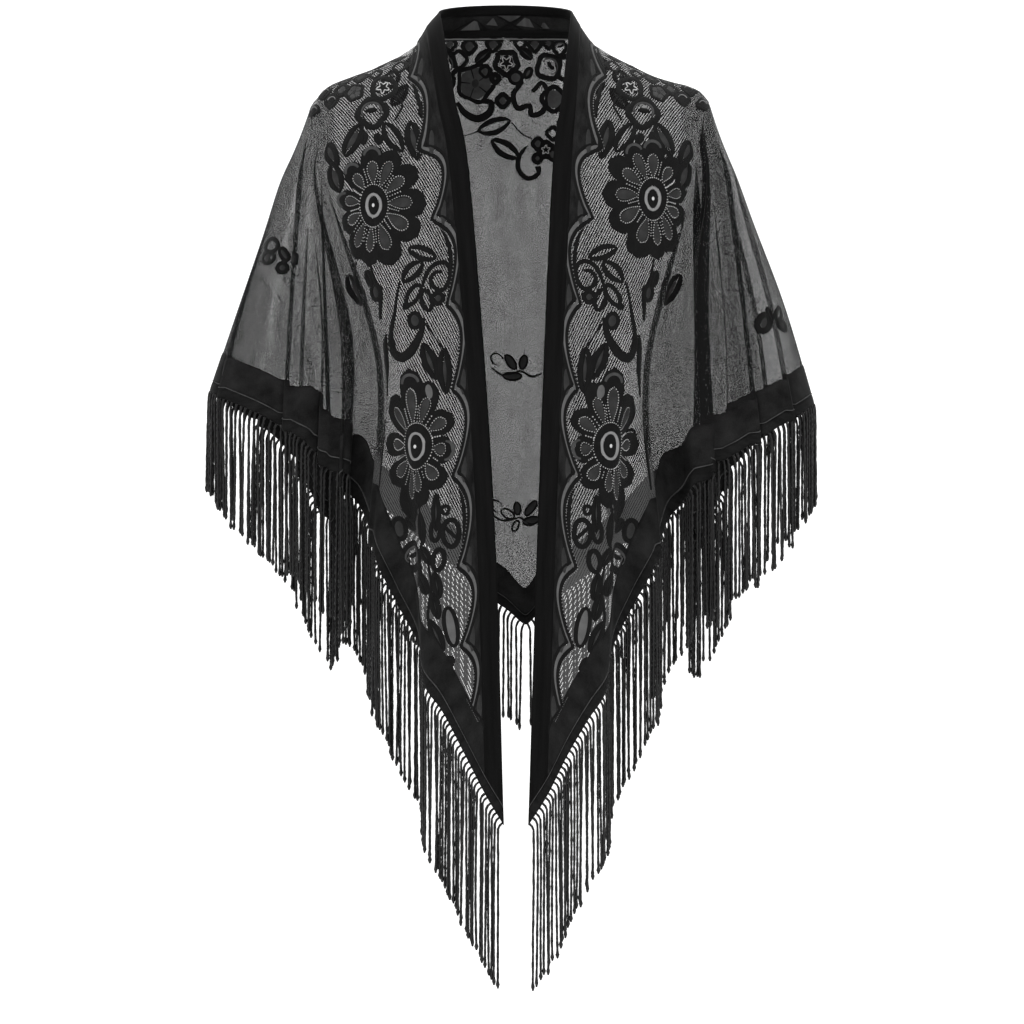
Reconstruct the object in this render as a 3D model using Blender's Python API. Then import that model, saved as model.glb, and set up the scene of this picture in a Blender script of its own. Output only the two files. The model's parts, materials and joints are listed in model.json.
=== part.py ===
# A triangle of black flower lace worn as a shawl: net, a bound front edge, hem bands and a fringe.
# The hollow form of a wearer's neck, shoulders and arms is kept, with nobody in it.
# Metres, +Z up, the fronts face -Y. "Left" is -X. The origin lies between the shoulders.
import bmesh
import bpy
import numpy as np

MM = 0.001

# Cloth
NET_THICKNESS = 1.0 * MM
BAND_THICKNESS = 1.5 * MM
SEAM_GAP = 0.3 * MM
HEM_BAND_WIDTH = 30 * MM
TAPE_WIDTH = 11 * MM
CHEST_HEIGHT = -90 * MM

# Neck band: half an ellipse round the back of the neck, a little flared, rising towards its middle
NECK_TOP = {"left": -76 * MM, "right": 57 * MM, "depth": 60 * MM, "height": 92 * MM, "rise": 10 * MM}
NECK_BASE = {"left": -94.5 * MM, "right": 75.5 * MM, "depth": 64 * MM, "height": 65 * MM, "rise": 7 * MM}
NECK_BAND_ROWS = 4
NECK_SEAM = BAND_THICKNESS / 2 + SEAM_GAP

# Fringe: knotted strands hang from a heading tape
STRAND_SPACING = 12.0 * MM
STRAND_WIDTH = 2.2 * MM
STRAND_TIP_WIDTH = 1.7 * MM
STRAND_LEAN = 5.0 * MM
STRAND_BEND = 13.0 * MM
FRONT_LENGTHS = {"at": (0.0, 0.10, 0.62), "length": (0.092, 0.137, 0.162)}
BACK_LENGTHS = {"at": (0.0, 0.10, 0.24, 0.34, 0.50), "length": (0.092, 0.128, 0.136, 0.112, 0.103)}

# Mesh density
RIB_STATIONS = 120
COLUMNS_PER_RIB = 2
LACE_ROWS = 13
HEM_BAND_ROWS = 3

# Reading the cloth: the arc over the shoulder, in degrees, and how normals and slants are measured
SHOULDER_TURNS = (0.0, 30.0, 60.0)
SIDE_STEP = 1e-3
SLANTS_PER_RIB = 4
SLANT_REACH = 0.25
SLANT_ROUNDS = 4
HEM_SHARE = 0.07
STEEPEST_COSINE = 0.8
SHARPEST_CORNER = 0.5
SHARP_EDGE = 50.0

# Each row is a rib of the cloth, from the shoulder line over the chest to the hem, in millimetres.
# Rows run from the front edge to the outer line of the arm, a row for each fold or hollow.
# "out" is measured from the middle plane, and y is the depth, with the fronts at minus.
FRONT_COLUMNS = (
    "ridge_out", "ridge_z", "chest_out", "chest_y", "waist_out", "waist_y", "hem_out", "hem_y", "hem_z",
)
FRONT_LEFT = (
    (76, 92, 42, -112, 19, -130, 9, -132, -722),
    (88, 76, 61, -114, 38, -133, 28, -134, -690),
    (102, 53, 82, -115, 60, -136, 50, -134, -647),
    (120, 45, 108, -113, 80, -133, 69, -128, -610),
    (140, 35, 134, -108, 96, -127, 87, -116, -583),
    (155, 28, 150, -102, 107, -118, 93, -88, -546),
    (167, 21, 166, -94, 119, -106, 114, -80, -506),
    (177, 15, 180, -82, 129, -90, 135, -82, -464),
    (183, 11, 187, -68, 137, -66, 144, -56, -428),
    (187, 8, 191, -60, 150, -52, 157, -46, -402),
    (190, 5, 194, -60, 163, -55, 167, -52, -388),
    (192, 3, 197, -65, 171, -67, 175, -64, -378),
    (194, 0, 202, -68, 188, -70, 192, -60, -362),
    (197, -2, 208, -66, 206, -72, 208, -66, -341),
    (199, -4, 214, -58, 224, -61, 231, -57, -327),
    (201, -7, 221, -50, 243, -57, 256, -54, -312),
    (203, -11, 231, -29, 262, -33, 291, -32, -297),
    (205, -16, 236, 0, 269, 0, 305, 0, -290),
)
FRONT_RIGHT = (
    (57, 92, 38, -112, 25, -130, 15, -132, -722),
    (68, 78, 57, -114, 44, -133, 34, -134, -692),
    (84, 57, 78, -115, 64, -136, 54, -134, -652),
    (104, 46, 103, -113, 84, -133, 73, -128, -619),
    (124, 36, 128, -108, 100, -127, 91, -116, -590),
    (140, 28, 144, -102, 109, -118, 98, -88, -550),
    (154, 22, 160, -94, 118, -106, 116, -80, -512),
    (165, 17, 174, -82, 130, -90, 139, -82, -470),
    (172, 14, 181, -68, 137, -66, 149, -56, -436),
    (177, 11, 185, -60, 150, -52, 160, -46, -414),
    (181, 9, 188, -60, 168, -56, 171, -53, -400),
    (184, 7, 191, -65, 177, -66, 180, -64, -386),
    (187, 4, 196, -68, 192, -70, 196, -60, -370),
    (190, 1, 205, -68, 212, -72, 218, -67, -356),
    (193, -2, 216, -59, 231, -62, 245, -58, -340),
    (195, -6, 222, -50, 249, -57, 267, -52, -326),
    (197, -12, 228, -28, 265, -31, 292, -31, -311),
    (199, -18, 230, 0, 272, 0, 304, 0, -303),
)

# The back, from the left arm to the neck, below the neck, and from the neck to the right arm.
# The fronts' last ribs close it at both ends. Below the neck a rib starts at a turn round the neck
# band, in degrees from its left end.
BACK_COLUMNS = ("ridge_x", "ridge_z", "chest_x", "chest_y", "waist_x", "waist_y", "hem_x", "hem_y", "hem_z")
NECK_COLUMNS = ("turn",) + BACK_COLUMNS[2:]
BACK_LEFT = (
    (-203, -11, -231, 29, -262, 33, -291, 32, -300),
    (-201, -7, -221, 50, -243, 57, -258, 54, -321),
    (-198, -7, -211, 62, -222, 66, -227, 62, -352),
    (-195, -2, -204, 66, -207, 62, -206, 56, -392),
    (-191, 4, -197, 71, -194, 64, -189, 56, -432),
    (-186, 8, -189, 78, -184, 76, -180, 72, -424),
    (-178, 14, -177, 87, -173, 94, -171, 92, -392),
    (-158, 26, -152, 98, -148, 105, -146, 107, -398),
    (-127, 41, -118, 105, -110, 107, -104, 102, -432),
    (-100, 58, -92, 107, -82, 106, -74, 106, -457),
)
BACK_NECK = (
    (0, -84, 107, -70, 108, -61, 104, -468),
    (30, -63, 108, -50, 108, -40, 103, -486),
    (60, -34, 108, -22, 107, -13, 106, -508),
    (90, -4, 108, 4, 108, 11, 104, -528),
    (120, 28, 108, 31, 107, 36, 106, -508),
    (150, 56, 108, 58, 108, 62, 103, -487),
    (180, 77, 107, 79, 108, 84, 104, -470),
)
BACK_RIGHT = (
    (82, 60, 88, 107, 92, 106, 98, 106, -458),
    (110, 43, 113, 105, 117, 107, 124, 102, -436),
    (141, 28, 144, 98, 150, 105, 152, 107, -408),
    (166, 17, 171, 87, 175, 94, 177, 92, -404),
    (176, 12, 182, 78, 185, 76, 183, 72, -434),
    (183, 8, 190, 71, 194, 64, 191, 56, -441),
    (188, 3, 199, 66, 207, 62, 208, 56, -402),
    (192, -3, 207, 62, 224, 66, 229, 62, -361),
    (195, -6, 218, 50, 246, 57, 260, 54, -332),
    (197, -12, 227, 29, 264, 32, 292, 32, -314),
)

MATERIALS = {
    "net": {"colour": (0.022, 0.022, 0.024, 1.0), "roughness": 0.85},
    "band": {"colour": (0.010, 0.010, 0.011, 1.0), "roughness": 0.9},
    "fringe": {"colour": (0.012, 0.012, 0.013, 1.0), "roughness": 0.55},
}


def named_rows(columns, rows):
    """The table's rows in metres, each as a dictionary by column name."""
    return [{name: value * MM for name, value in zip(columns, row)} for row in rows]


def front_ribs(rows, side):
    """Four points of each front rib: shoulder line, chest, waist and hem, with the side's sign on X."""
    ribs = []
    for rib in named_rows(FRONT_COLUMNS, rows):
        ribs.append({
            "ridge": (side * rib["ridge_out"], 0.0, rib["ridge_z"]),
            "chest": (side * rib["chest_out"], rib["chest_y"], CHEST_HEIGHT),
            "waist": (side * rib["waist_out"], rib["waist_y"], (CHEST_HEIGHT + rib["hem_z"]) / 2),
            "hem": (side * rib["hem_out"], rib["hem_y"], rib["hem_z"]),
        })
    return ribs


def neck_point(line, turn, further=0.0):
    """A point of the neck band's line at a turn in radians, moved outwards by 'further'."""
    middle = (line["left"] + line["right"]) / 2
    half = (line["right"] - line["left"]) / 2 + further
    behind = np.sin(turn)
    height = line["height"] + line["rise"] * behind
    return (middle - half * np.cos(turn), (line["depth"] + further) * behind, height)


def back_ribs(left_arm, right_arm):
    """The back's ribs between the two outer lines of the arms."""
    def hanging(rib, ridge):
        return {
            "ridge": ridge,
            "chest": (rib["chest_x"], rib["chest_y"], CHEST_HEIGHT),
            "waist": (rib["waist_x"], rib["waist_y"], (CHEST_HEIGHT + rib["hem_z"]) / 2),
            "hem": (rib["hem_x"], rib["hem_y"], rib["hem_z"]),
        }

    def over_shoulder(rows):
        return [hanging(rib, (rib["ridge_x"], 0.0, rib["ridge_z"])) for rib in named_rows(BACK_COLUMNS, rows)]

    below_neck = []
    for row, rib in zip(BACK_NECK, named_rows(NECK_COLUMNS, BACK_NECK)):
        below_neck.append(hanging(rib, neck_point(NECK_BASE, np.radians(row[0]), NECK_SEAM)))
    return [left_arm] + over_shoulder(BACK_LEFT) + below_neck + over_shoulder(BACK_RIGHT) + [right_arm]


def spline(points, ghost_start, ghost_end, at):
    """A Catmull-Rom curve through points (n, ..., 3), read at the places 'at' between 0 and n - 1."""
    rows = np.concatenate([ghost_start[None], points, ghost_end[None]])
    cell = np.clip(np.floor(at).astype(int), 0, len(points) - 2)
    t = (at - cell).reshape((-1,) + (1,) * (points.ndim - 1))
    before, start, end, after = rows[cell], rows[cell + 1], rows[cell + 2], rows[cell + 3]
    straight = end - start
    leave, arrive = (end - before) / 2, (after - start) / 2
    return (start + leave * t + (3 * straight - 2 * leave - arrive) * t ** 2
            + (leave + arrive - 2 * straight) * t ** 3)


def even_stations(path, count):
    """The polyline path read at count places an equal length apart."""
    steps = np.linalg.norm(np.diff(path, axis=0), axis=1)
    along = np.concatenate([[0.0], np.cumsum(steps)])
    wanted = np.linspace(0.0, along[-1], count)
    return np.stack([np.interp(wanted, along, path[:, axis]) for axis in range(3)], axis=1)


def rib_curve(rib):
    """One rib: a quarter ellipse from the level shoulder line to the chest, then hanging to the hem."""
    ridge, chest, waist, hem = (np.array(rib[name]) for name in ("ridge", "chest", "waist", "hem"))
    over = []
    for turn in np.radians(SHOULDER_TURNS):
        sink = 1 - np.cos(turn)
        place = ridge + (chest - ridge) * sink
        place[1] = ridge[1] + (chest[1] - ridge[1]) * np.sin(turn)
        over.append(place)
    points = np.array(over + [chest, waist, hem])
    mirrored = points[1].copy()
    mirrored[1] = 2 * ridge[1] - points[1][1]
    fine = spline(points, mirrored, 2 * hem - waist, np.linspace(0, len(points) - 1, RIB_STATIONS))
    return even_stations(fine, RIB_STATIONS)


class Cloth:
    """A stretch of cloth: ribs side by side, read at u (0 to ribs - 1) and v (0 shoulder, 1 hem).

    It keeps to its side of the shoulder line: -1 in front, 1 behind.
    """

    def __init__(self, ribs, side, arm_first):
        self.side = side
        self.arm_first = arm_first
        self.curves = np.array([rib_curve(rib) for rib in ribs])
        self.last = len(ribs) - 1
        self.ghosts = [self.ghost(0, 1, arm_first), self.ghost(-1, -2, True)]
        self.places = np.linspace(0, self.last, self.last * SLANTS_PER_RIB + 1)
        self.slants = smooth(self.slant(self.places), SLANT_ROUNDS)

    def ghost(self, end, beside, at_arm):
        """The row past an end rib. At the outer line of the arm the cloth turns straight back."""
        row = 2 * self.curves[end] - self.curves[beside]
        if at_arm:
            row = self.curves[beside].copy()
            row[:, 1] = 2 * self.curves[end][:, 1] - row[:, 1]
        return row

    def at(self, u, v):
        """Points (n, 3) at the arrays u and v."""
        rows = spline(self.curves, self.ghosts[0], self.ghosts[1], u)
        station = np.clip(v, 0, 1) * (RIB_STATIONS - 1)
        low = np.minimum(station.astype(int), RIB_STATIONS - 2)
        share = (station - low)[:, None]
        index = np.arange(len(u))
        points = rows[index, low] * (1 - share) + rows[index, low + 1] * share
        points[:, 1] = self.side * np.maximum(self.side * points[:, 1], 0)
        return points

    def normals(self, u, v):
        """Unit normals. At the outer line of the arm the cloth runs straight fore and aft."""
        further, nearer = np.minimum(u + SIDE_STEP, self.last), np.maximum(u - SIDE_STEP, 0)
        across = self.at(further, v) - self.at(nearer, v)
        across[u == self.last] = (0, -self.side, 0)
        if self.arm_first:
            across[u == 0] = (0, self.side, 0)
        lower, higher = np.minimum(v + 1 / RIB_STATIONS, 1), np.maximum(v - 1 / RIB_STATIONS, 0)
        down = self.at(u, lower) - self.at(u, higher)
        return unit(np.cross(across, down))

    def slant(self, u):
        """How much v a metre square to the hem takes, at each u."""
        ones = np.ones_like(u)
        further, nearer = np.minimum(u + SLANT_REACH, self.last), np.maximum(u - SLANT_REACH, 0)
        hem = unit(self.at(further, ones) - self.at(nearer, ones))
        down = unit(self.at(u, ones) - self.at(u, ones - HEM_SHARE))
        cosine = np.abs((hem * down).sum(axis=1))
        sine = np.sqrt(1 - np.minimum(cosine, STEEPEST_COSINE) ** 2)
        rows = spline(self.curves, self.ghosts[0], self.ghosts[1], u)
        return 1 / sine / np.linalg.norm(np.diff(rows, axis=1), axis=2).sum(axis=1)

    def above_hem(self, u, width):
        """The v that lies width above the hem, measured square to the hem."""
        return 1 - width * np.interp(u, self.places, self.slants)


def unit(vectors):
    """vectors at length 1."""
    return vectors / np.linalg.norm(vectors, axis=-1, keepdims=True)


def smooth(values, rounds):
    """values with each inner one drawn towards its neighbours."""
    result = values.copy()
    for _ in range(rounds):
        result[1:-1] = (result[:-2] + 2 * result[1:-1] + result[2:]) / 4
    return result


def grid(cloth, u, v):
    """Points and normals (columns, rows, 3) at the columns u and each column's own row of v."""
    uu = np.repeat(u, v.shape[1])
    shape = v.shape + (3,)
    return cloth.at(uu, v.ravel()).reshape(shape), cloth.normals(uu, v.ravel()).reshape(shape)


def lines_between(start, end, count):
    """count v lines from start to end, both included."""
    return [start + (end - start) * share for share in np.linspace(0, 1, count)]


def pull_in(points, sides):
    """Moves the named outer lines of a grid inwards by half a seam gap, square to each line."""
    lines = {
        "first": (np.s_[0], np.s_[1]), "last": (np.s_[-1], np.s_[-2]),
        "top": (np.s_[:, 0], np.s_[:, 1]), "bottom": (np.s_[:, -1], np.s_[:, -2]),
    }
    moves = np.zeros_like(points)
    for side in sides:
        outer, inner = lines[side]
        line = points[outer]
        steps = unit(np.diff(line, axis=0))
        before = np.concatenate([steps[:1], steps])
        after = np.concatenate([steps, steps[-1:]])
        along = unit(before + after)
        half_turn = np.sqrt((1 + (before * after).sum(axis=-1, keepdims=True)) / 2)
        towards = points[inner] - line
        towards = unit(towards - (towards * along).sum(axis=-1, keepdims=True) * along)
        moves[outer] += towards * SEAM_GAP / 2 / np.maximum(half_turn, SHARPEST_CORNER)
    return points + moves


def new_object(name, vertices, faces, material):
    """A named object of one mesh, smooth but for its sharp edges."""
    mesh = bpy.data.meshes.new(name)
    mesh.from_pydata([tuple(vertex) for vertex in vertices], [], faces)
    work = bmesh.new()
    work.from_mesh(mesh)
    bmesh.ops.recalc_face_normals(work, faces=work.faces)
    work.to_mesh(mesh)
    work.free()
    mesh.shade_smooth()
    mesh.set_sharp_from_angle(angle=np.radians(SHARP_EDGE))
    mesh.materials.append(material)
    thing = bpy.data.objects.new(name, mesh)
    bpy.data.collections["lace_shawl"].objects.link(thing)
    return thing


def wall(points, normals, thickness):
    """Vertices and faces of a closed wall on a grid of points, both sides split into the same triangles."""
    columns, rows = points.shape[:2]
    half = normals * thickness / 2
    vertices = np.concatenate([(points + half).reshape(-1, 3), (points - half).reshape(-1, 3)])
    inner = columns * rows
    falling = np.linalg.norm(points[1:, 1:] - points[:-1, :-1], axis=2)
    rising = np.linalg.norm(points[1:, :-1] - points[:-1, 1:], axis=2)

    def index(column, row):
        return column * rows + row

    faces = []
    for column in range(columns - 1):
        for row in range(rows - 1):
            quad = [index(*corner) for corner in (
                (column, row), (column + 1, row), (column + 1, row + 1), (column, row + 1))]
            if falling[column, row] > rising[column, row]:
                quad = quad[1:] + quad[:1]
            for triangle in (quad[:3], quad[2:] + quad[:1]):
                faces.append(tuple(triangle))
                faces.append(tuple(inner + corner for corner in reversed(triangle)))
    rim = [index(column, 0) for column in range(columns)]
    rim += [index(columns - 1, row) for row in range(1, rows)]
    rim += [index(column, rows - 1) for column in reversed(range(columns - 1))]
    rim += [index(0, row) for row in reversed(range(1, rows - 1))]
    for here, there in zip(rim, rim[1:] + rim[:1]):
        faces.append((there, here, inner + here, inner + there))
    return vertices, faces


def cloth_wall(name, cloth, u, v_lines, thickness, seams, material, top=None):
    """A piece of cloth through rows of v lines, as a closed wall with its seams pulled in."""
    v = np.stack(v_lines, axis=1)
    points, normals = grid(cloth, u, v)
    if top is not None:
        points[top[0], 0] = top[1]
    vertices, faces = wall(pull_in(points, seams), normals, thickness)
    return new_object(name, vertices, faces, material)


def strand_places(hem):
    """Places along the columns of a hem, with both sides of each strand, and which spans are strands."""
    places, strands = [0.0], []
    for column, length in enumerate(np.linalg.norm(np.diff(hem, axis=0), axis=1)):
        count = int(round(length / STRAND_SPACING))
        for strand in range(count):
            middle = column + (strand + 0.5) / count
            half = STRAND_WIDTH / 2 / length
            places += [middle - half, middle + half]
            strands += [False, True]
        places.append(column + 1.0)
        strands.append(False)
    return np.array(places), strands


def between_columns(values, places):
    """A grid's values read on its facets, at places counted in columns."""
    low = np.minimum(places.astype(int), len(values) - 2)
    share = (places - low)[:, None, None]
    return values[low] * (1 - share) + values[low + 1] * share


def strand(points, normals, column, reach):
    """The bend and the tip of one strand, as two rings of four points, and the root's four corners."""
    down = np.array((0.0, 0.0, -1.0))
    root = (points[column, 1] + points[column + 1, 1]) / 2
    along = points[column + 1, 1] - points[column, 1]
    normal = normals[column, 1] + normals[column + 1, 1]
    leave = np.cross(along, normal)
    leave *= np.sign(leave @ (points[column, 1] - points[column, 0])) / np.linalg.norm(leave)
    level = normal * (1, 1, 0)
    level /= np.linalg.norm(level)
    across = np.cross(down, level)
    across *= np.sign(np.cross(leave, normal) @ along) * np.sign(across @ np.cross(down, normal))
    rings = []
    for depth, width in ((STRAND_BEND, STRAND_WIDTH), (reach, STRAND_TIP_WIDTH)):
        centre = root + leave * STRAND_LEAN + down * depth
        side, front_half = across * width / 2, level * width / 2
        rings.append([
            centre - side + front_half, centre + side + front_half,
            centre + side - front_half, centre - side - front_half,
        ])
    return rings


def fringe(name, cloth, columns, lengths, from_start, material):
    """The heading tape with its strands, fused into one body."""
    tape_top = cloth.above_hem(columns, TAPE_WIDTH)
    points, normals = grid(cloth, columns, np.stack([tape_top, np.ones_like(columns)], axis=1))
    points = pull_in(points, ("first", "last", "top"))
    places, strands = strand_places(points[:, 1])
    points, normals = between_columns(points, places), between_columns(normals, places)
    half = normals * BAND_THICKNESS / 2
    vertices = list(np.stack([points + half, points - half], axis=2).reshape(-1, 3))
    hem = np.concatenate([[0.0], np.cumsum(np.linalg.norm(np.diff(points[:, 1], axis=0), axis=1))])
    from_side = hem if from_start else hem[-1] - hem

    def corner(column, row, inside):
        return column * 4 + row * 2 + inside

    faces = []
    for a, is_strand in enumerate(strands):
        b = a + 1
        faces.append((corner(a, 0, 0), corner(b, 0, 0), corner(b, 1, 0), corner(a, 1, 0)))
        faces.append((corner(a, 0, 1), corner(a, 1, 1), corner(b, 1, 1), corner(b, 0, 1)))
        faces.append((corner(a, 0, 0), corner(a, 0, 1), corner(b, 0, 1), corner(b, 0, 0)))
        ring = [corner(a, 1, 0), corner(b, 1, 0), corner(b, 1, 1), corner(a, 1, 1)]
        if is_strand:
            reach = np.interp(from_side[a], lengths["at"], lengths["length"])
            for below_points in strand(points, normals, a, reach):
                below = list(range(len(vertices), len(vertices) + 4))
                vertices += below_points
                for turn in range(4):
                    after = (turn + 1) % 4
                    faces.append((ring[turn], ring[after], below[after], below[turn]))
                ring = below
        faces.append(tuple(ring))
    last = len(strands)
    faces.append((corner(0, 0, 0), corner(0, 1, 0), corner(0, 1, 1), corner(0, 0, 1)))
    faces.append((corner(last, 0, 0), corner(last, 0, 1), corner(last, 1, 1), corner(last, 1, 0)))
    return new_object(name, vertices, faces, material)


def neck_band(turns, material):
    """The band that stands up round the back of the neck."""
    top = np.array([neck_point(NECK_TOP, turn) for turn in turns])
    base = np.array([neck_point(NECK_BASE, turn) for turn in turns])
    share = np.linspace(0, 1, NECK_BAND_ROWS)[None, :, None]
    points = top[:, None] * (1 - share) + base[:, None] * share
    across = np.gradient(points, axis=0)
    across[[0, -1]] *= (0, 1, 0)
    normals = unit(np.cross(across, np.gradient(points, axis=1)))
    vertices, faces = wall(pull_in(points, ("first", "last", "bottom")), normals, BAND_THICKNESS)
    return new_object("neck_band_back", vertices, faces, material)


def columns_between(start, end):
    """Columns of a grid from rib start to rib end."""
    return np.linspace(start, end, (end - start) * COLUMNS_PER_RIB + 1)


def hem_lines(cloth, u):
    """The v of a hem band's upper and lower line."""
    return cloth.above_hem(u, HEM_BAND_WIDTH + TAPE_WIDTH), cloth.above_hem(u, TAPE_WIDTH)


def front(side_name, cloth, materials):
    """One front: its bound edge, its lace, its hem band and its fringe."""
    edge = columns_between(0, 1)
    u = columns_between(1, cloth.last)
    seams = ("first", "last", "top", "bottom")
    upper, lower = hem_lines(cloth, u)
    cloth_wall("lace_front_" + side_name, cloth, u, lines_between(u * 0, upper, LACE_ROWS),
               NET_THICKNESS, seams, materials["net"])
    cloth_wall("hem_band_front_" + side_name, cloth, u, lines_between(upper, lower, HEM_BAND_ROWS),
               BAND_THICKNESS, seams, materials["band"])
    upper, lower = hem_lines(cloth, edge)
    lines = lines_between(edge * 0, upper, LACE_ROWS) + lines_between(upper, lower, HEM_BAND_ROWS)[1:]
    cloth_wall("front_band_" + side_name, cloth, edge, lines,
               BAND_THICKNESS, ("last", "top", "bottom"), materials["band"])
    whole = np.concatenate([edge, u[1:]])
    fringe("fringe_front_" + side_name, cloth, whole, FRONT_LENGTHS, False, materials["fringe"])


def back(cloth, materials):
    """The back: one lace, and a hem band and a fringe down to the point from each side."""
    u = columns_between(0, cloth.last)
    seams = ("first", "last", "top", "bottom")
    neck_first = 1 + len(BACK_LEFT)
    neck_last = neck_first + len(BACK_NECK) - 1
    neck = np.flatnonzero((u >= neck_first) & (u <= neck_last))
    rib_turns = np.radians([row[0] for row in BACK_NECK])
    turns = np.interp(u[neck], np.arange(neck_first, neck_last + 1), rib_turns)
    neck_line = [neck_point(NECK_BASE, turn, NECK_SEAM) for turn in turns]
    neck_band(turns, materials["band"])
    upper, lower = hem_lines(cloth, u)
    cloth_wall("lace_back", cloth, u, lines_between(u * 0, upper, LACE_ROWS),
               NET_THICKNESS, seams, materials["net"], (neck, neck_line))
    point = len(u) // 2
    for side_name, half in {"left": np.s_[:point + 1], "right": np.s_[point:]}.items():
        cloth_wall("hem_band_back_" + side_name, cloth, u[half],
                   lines_between(upper[half], lower[half], HEM_BAND_ROWS),
                   BAND_THICKNESS, seams, materials["band"])
        fringe("fringe_back_" + side_name, cloth, u[half], BACK_LENGTHS,
               side_name == "left", materials["fringe"])


def new_material(name, look):
    """A plain material from one row of the table of materials."""
    material = bpy.data.materials.new(name)
    material.use_nodes = True
    shader = material.node_tree.nodes["Principled BSDF"]
    shader.inputs["Base Color"].default_value = look["colour"]
    shader.inputs["Roughness"].default_value = look["roughness"]
    shader.inputs["Metallic"].default_value = 0.0
    return material


def main():
    for thing in list(bpy.data.objects):
        bpy.data.objects.remove(thing, do_unlink=True)
    collection = bpy.data.collections.new("lace_shawl")
    bpy.context.scene.collection.children.link(collection)
    materials = {name: new_material(name, look) for name, look in MATERIALS.items()}

    left_ribs = front_ribs(FRONT_LEFT, -1)
    right_ribs = front_ribs(FRONT_RIGHT, 1)
    front("left", Cloth(left_ribs, -1, False), materials)
    front("right", Cloth(right_ribs, -1, False), materials)
    back(Cloth(back_ribs(left_ribs[-1], right_ribs[-1]), 1, True), materials)


main()
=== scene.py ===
# The looks of a black lace shawl: net with flowers worked on it, bound edges, hem bands and a fringe.
# Sizes are in millimetres until a mesh is made. "Left" is -X, the fronts face -Y and Z is up.
import json

import bpy
import numpy as np
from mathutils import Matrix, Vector

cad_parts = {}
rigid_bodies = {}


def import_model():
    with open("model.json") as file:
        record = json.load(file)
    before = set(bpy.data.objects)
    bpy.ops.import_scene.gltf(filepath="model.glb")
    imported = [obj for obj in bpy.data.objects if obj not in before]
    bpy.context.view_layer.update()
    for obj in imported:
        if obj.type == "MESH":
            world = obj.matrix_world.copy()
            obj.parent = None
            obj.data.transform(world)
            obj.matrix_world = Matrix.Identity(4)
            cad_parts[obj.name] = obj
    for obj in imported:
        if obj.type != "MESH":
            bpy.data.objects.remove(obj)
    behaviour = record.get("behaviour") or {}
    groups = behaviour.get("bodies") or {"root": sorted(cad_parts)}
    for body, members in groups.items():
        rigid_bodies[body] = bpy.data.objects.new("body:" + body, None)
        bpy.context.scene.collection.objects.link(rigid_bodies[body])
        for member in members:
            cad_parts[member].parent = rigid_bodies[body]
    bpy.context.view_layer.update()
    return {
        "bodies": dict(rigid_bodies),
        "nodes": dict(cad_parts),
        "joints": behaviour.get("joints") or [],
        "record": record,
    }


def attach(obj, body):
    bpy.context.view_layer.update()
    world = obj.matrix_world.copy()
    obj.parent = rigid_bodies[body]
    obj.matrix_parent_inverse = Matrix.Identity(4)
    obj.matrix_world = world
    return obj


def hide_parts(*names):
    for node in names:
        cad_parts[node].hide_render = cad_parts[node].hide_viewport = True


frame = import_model()


print("frame loaded")

mm = 0.001
chestHeight = -90.0
hemBandWidth = 30.0
tapeWidth = 11.0
wholeHem = hemBandWidth + tapeWidth
underHem = {"net": 3, "worked": 4, "band": 1}  # How far each reaches under the next one
sameEachRun = np.random.default_rng(7)

# Each row is a rib of the cloth, counted from the front edge to the arm. It has out and z on the shoulder
# line, out and y at the chest and at the waist, then out, y and z at the hem. "Out" is from the middle plane.
leftFrontRows = (
    (74, 92.5, 42, -112, 19, -130, 9, -132, -722),
    (88, 76, 61, -114, 38, -133, 28, -134, -690),
    (102, 53, 82, -115, 60, -136, 50, -134, -647),
    (120, 45, 108, -113, 80, -133, 69, -128, -610),
    (140, 35, 134, -108, 96, -127, 87, -116, -583),
    (155, 28, 150, -102, 107, -118, 93, -88, -546),
    (167, 21, 166, -94, 119, -106, 114, -80, -506),
    (177, 15, 180, -82, 129, -90, 135, -82, -464),
    (183, 11, 187, -68, 137, -66, 144, -56, -428),
    (187, 8, 191, -60, 150, -52, 157, -46, -402),
    (190, 5, 194, -60, 163, -55, 167, -52, -388),
    (192, 3, 197, -65, 171, -67, 175, -64, -378),
    (194, 0, 202, -68, 188, -70, 192, -60, -362),
    (197, -2, 208, -66, 206, -72, 208, -66, -341),
    (199, -4, 214, -58, 224, -61, 231, -57, -327),
    (201, -7, 222, -50, 246, -57, 258, -54, -312),
    (203, -11, 232, -29, 265, -33, 293, -32, -297),
    (205, -16, 237, 0, 272, 0, 306, 0, -290),
)
rightFrontRows = (
    (59, 92.5, 38, -112, 25, -130, 15, -132, -722),
    (68, 78, 57, -114, 44, -133, 34, -134, -692),
    (84, 57, 78, -115, 64, -136, 54, -134, -652),
    (104, 46, 103, -113, 84, -133, 73, -128, -619),
    (124, 36, 128, -108, 100, -127, 91, -116, -590),
    (140, 28, 144, -102, 109, -118, 98, -88, -550),
    (154, 22, 160, -94, 118, -106, 116, -80, -512),
    (165, 17, 174, -82, 130, -90, 139, -82, -470),
    (172, 14, 181, -68, 137, -66, 149, -56, -436),
    (177, 11, 185, -60, 150, -52, 160, -46, -414),
    (181, 9, 188, -60, 168, -56, 171, -53, -400),
    (184, 7, 191, -65, 177, -66, 180, -64, -386),
    (187, 4, 196, -68, 192, -70, 196, -60, -370),
    (190, 1, 205, -68, 212, -72, 218, -67, -356),
    (193, -2, 216, -59, 231, -62, 245, -58, -340),
    (195, -6, 222, -50, 249, -57, 267, -52, -326),
    (197, -12, 228, -28, 265, -31, 292, -31, -311),
    (199, -18, 230, 0, 272, 0, 304, 0, -303),
)
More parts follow.
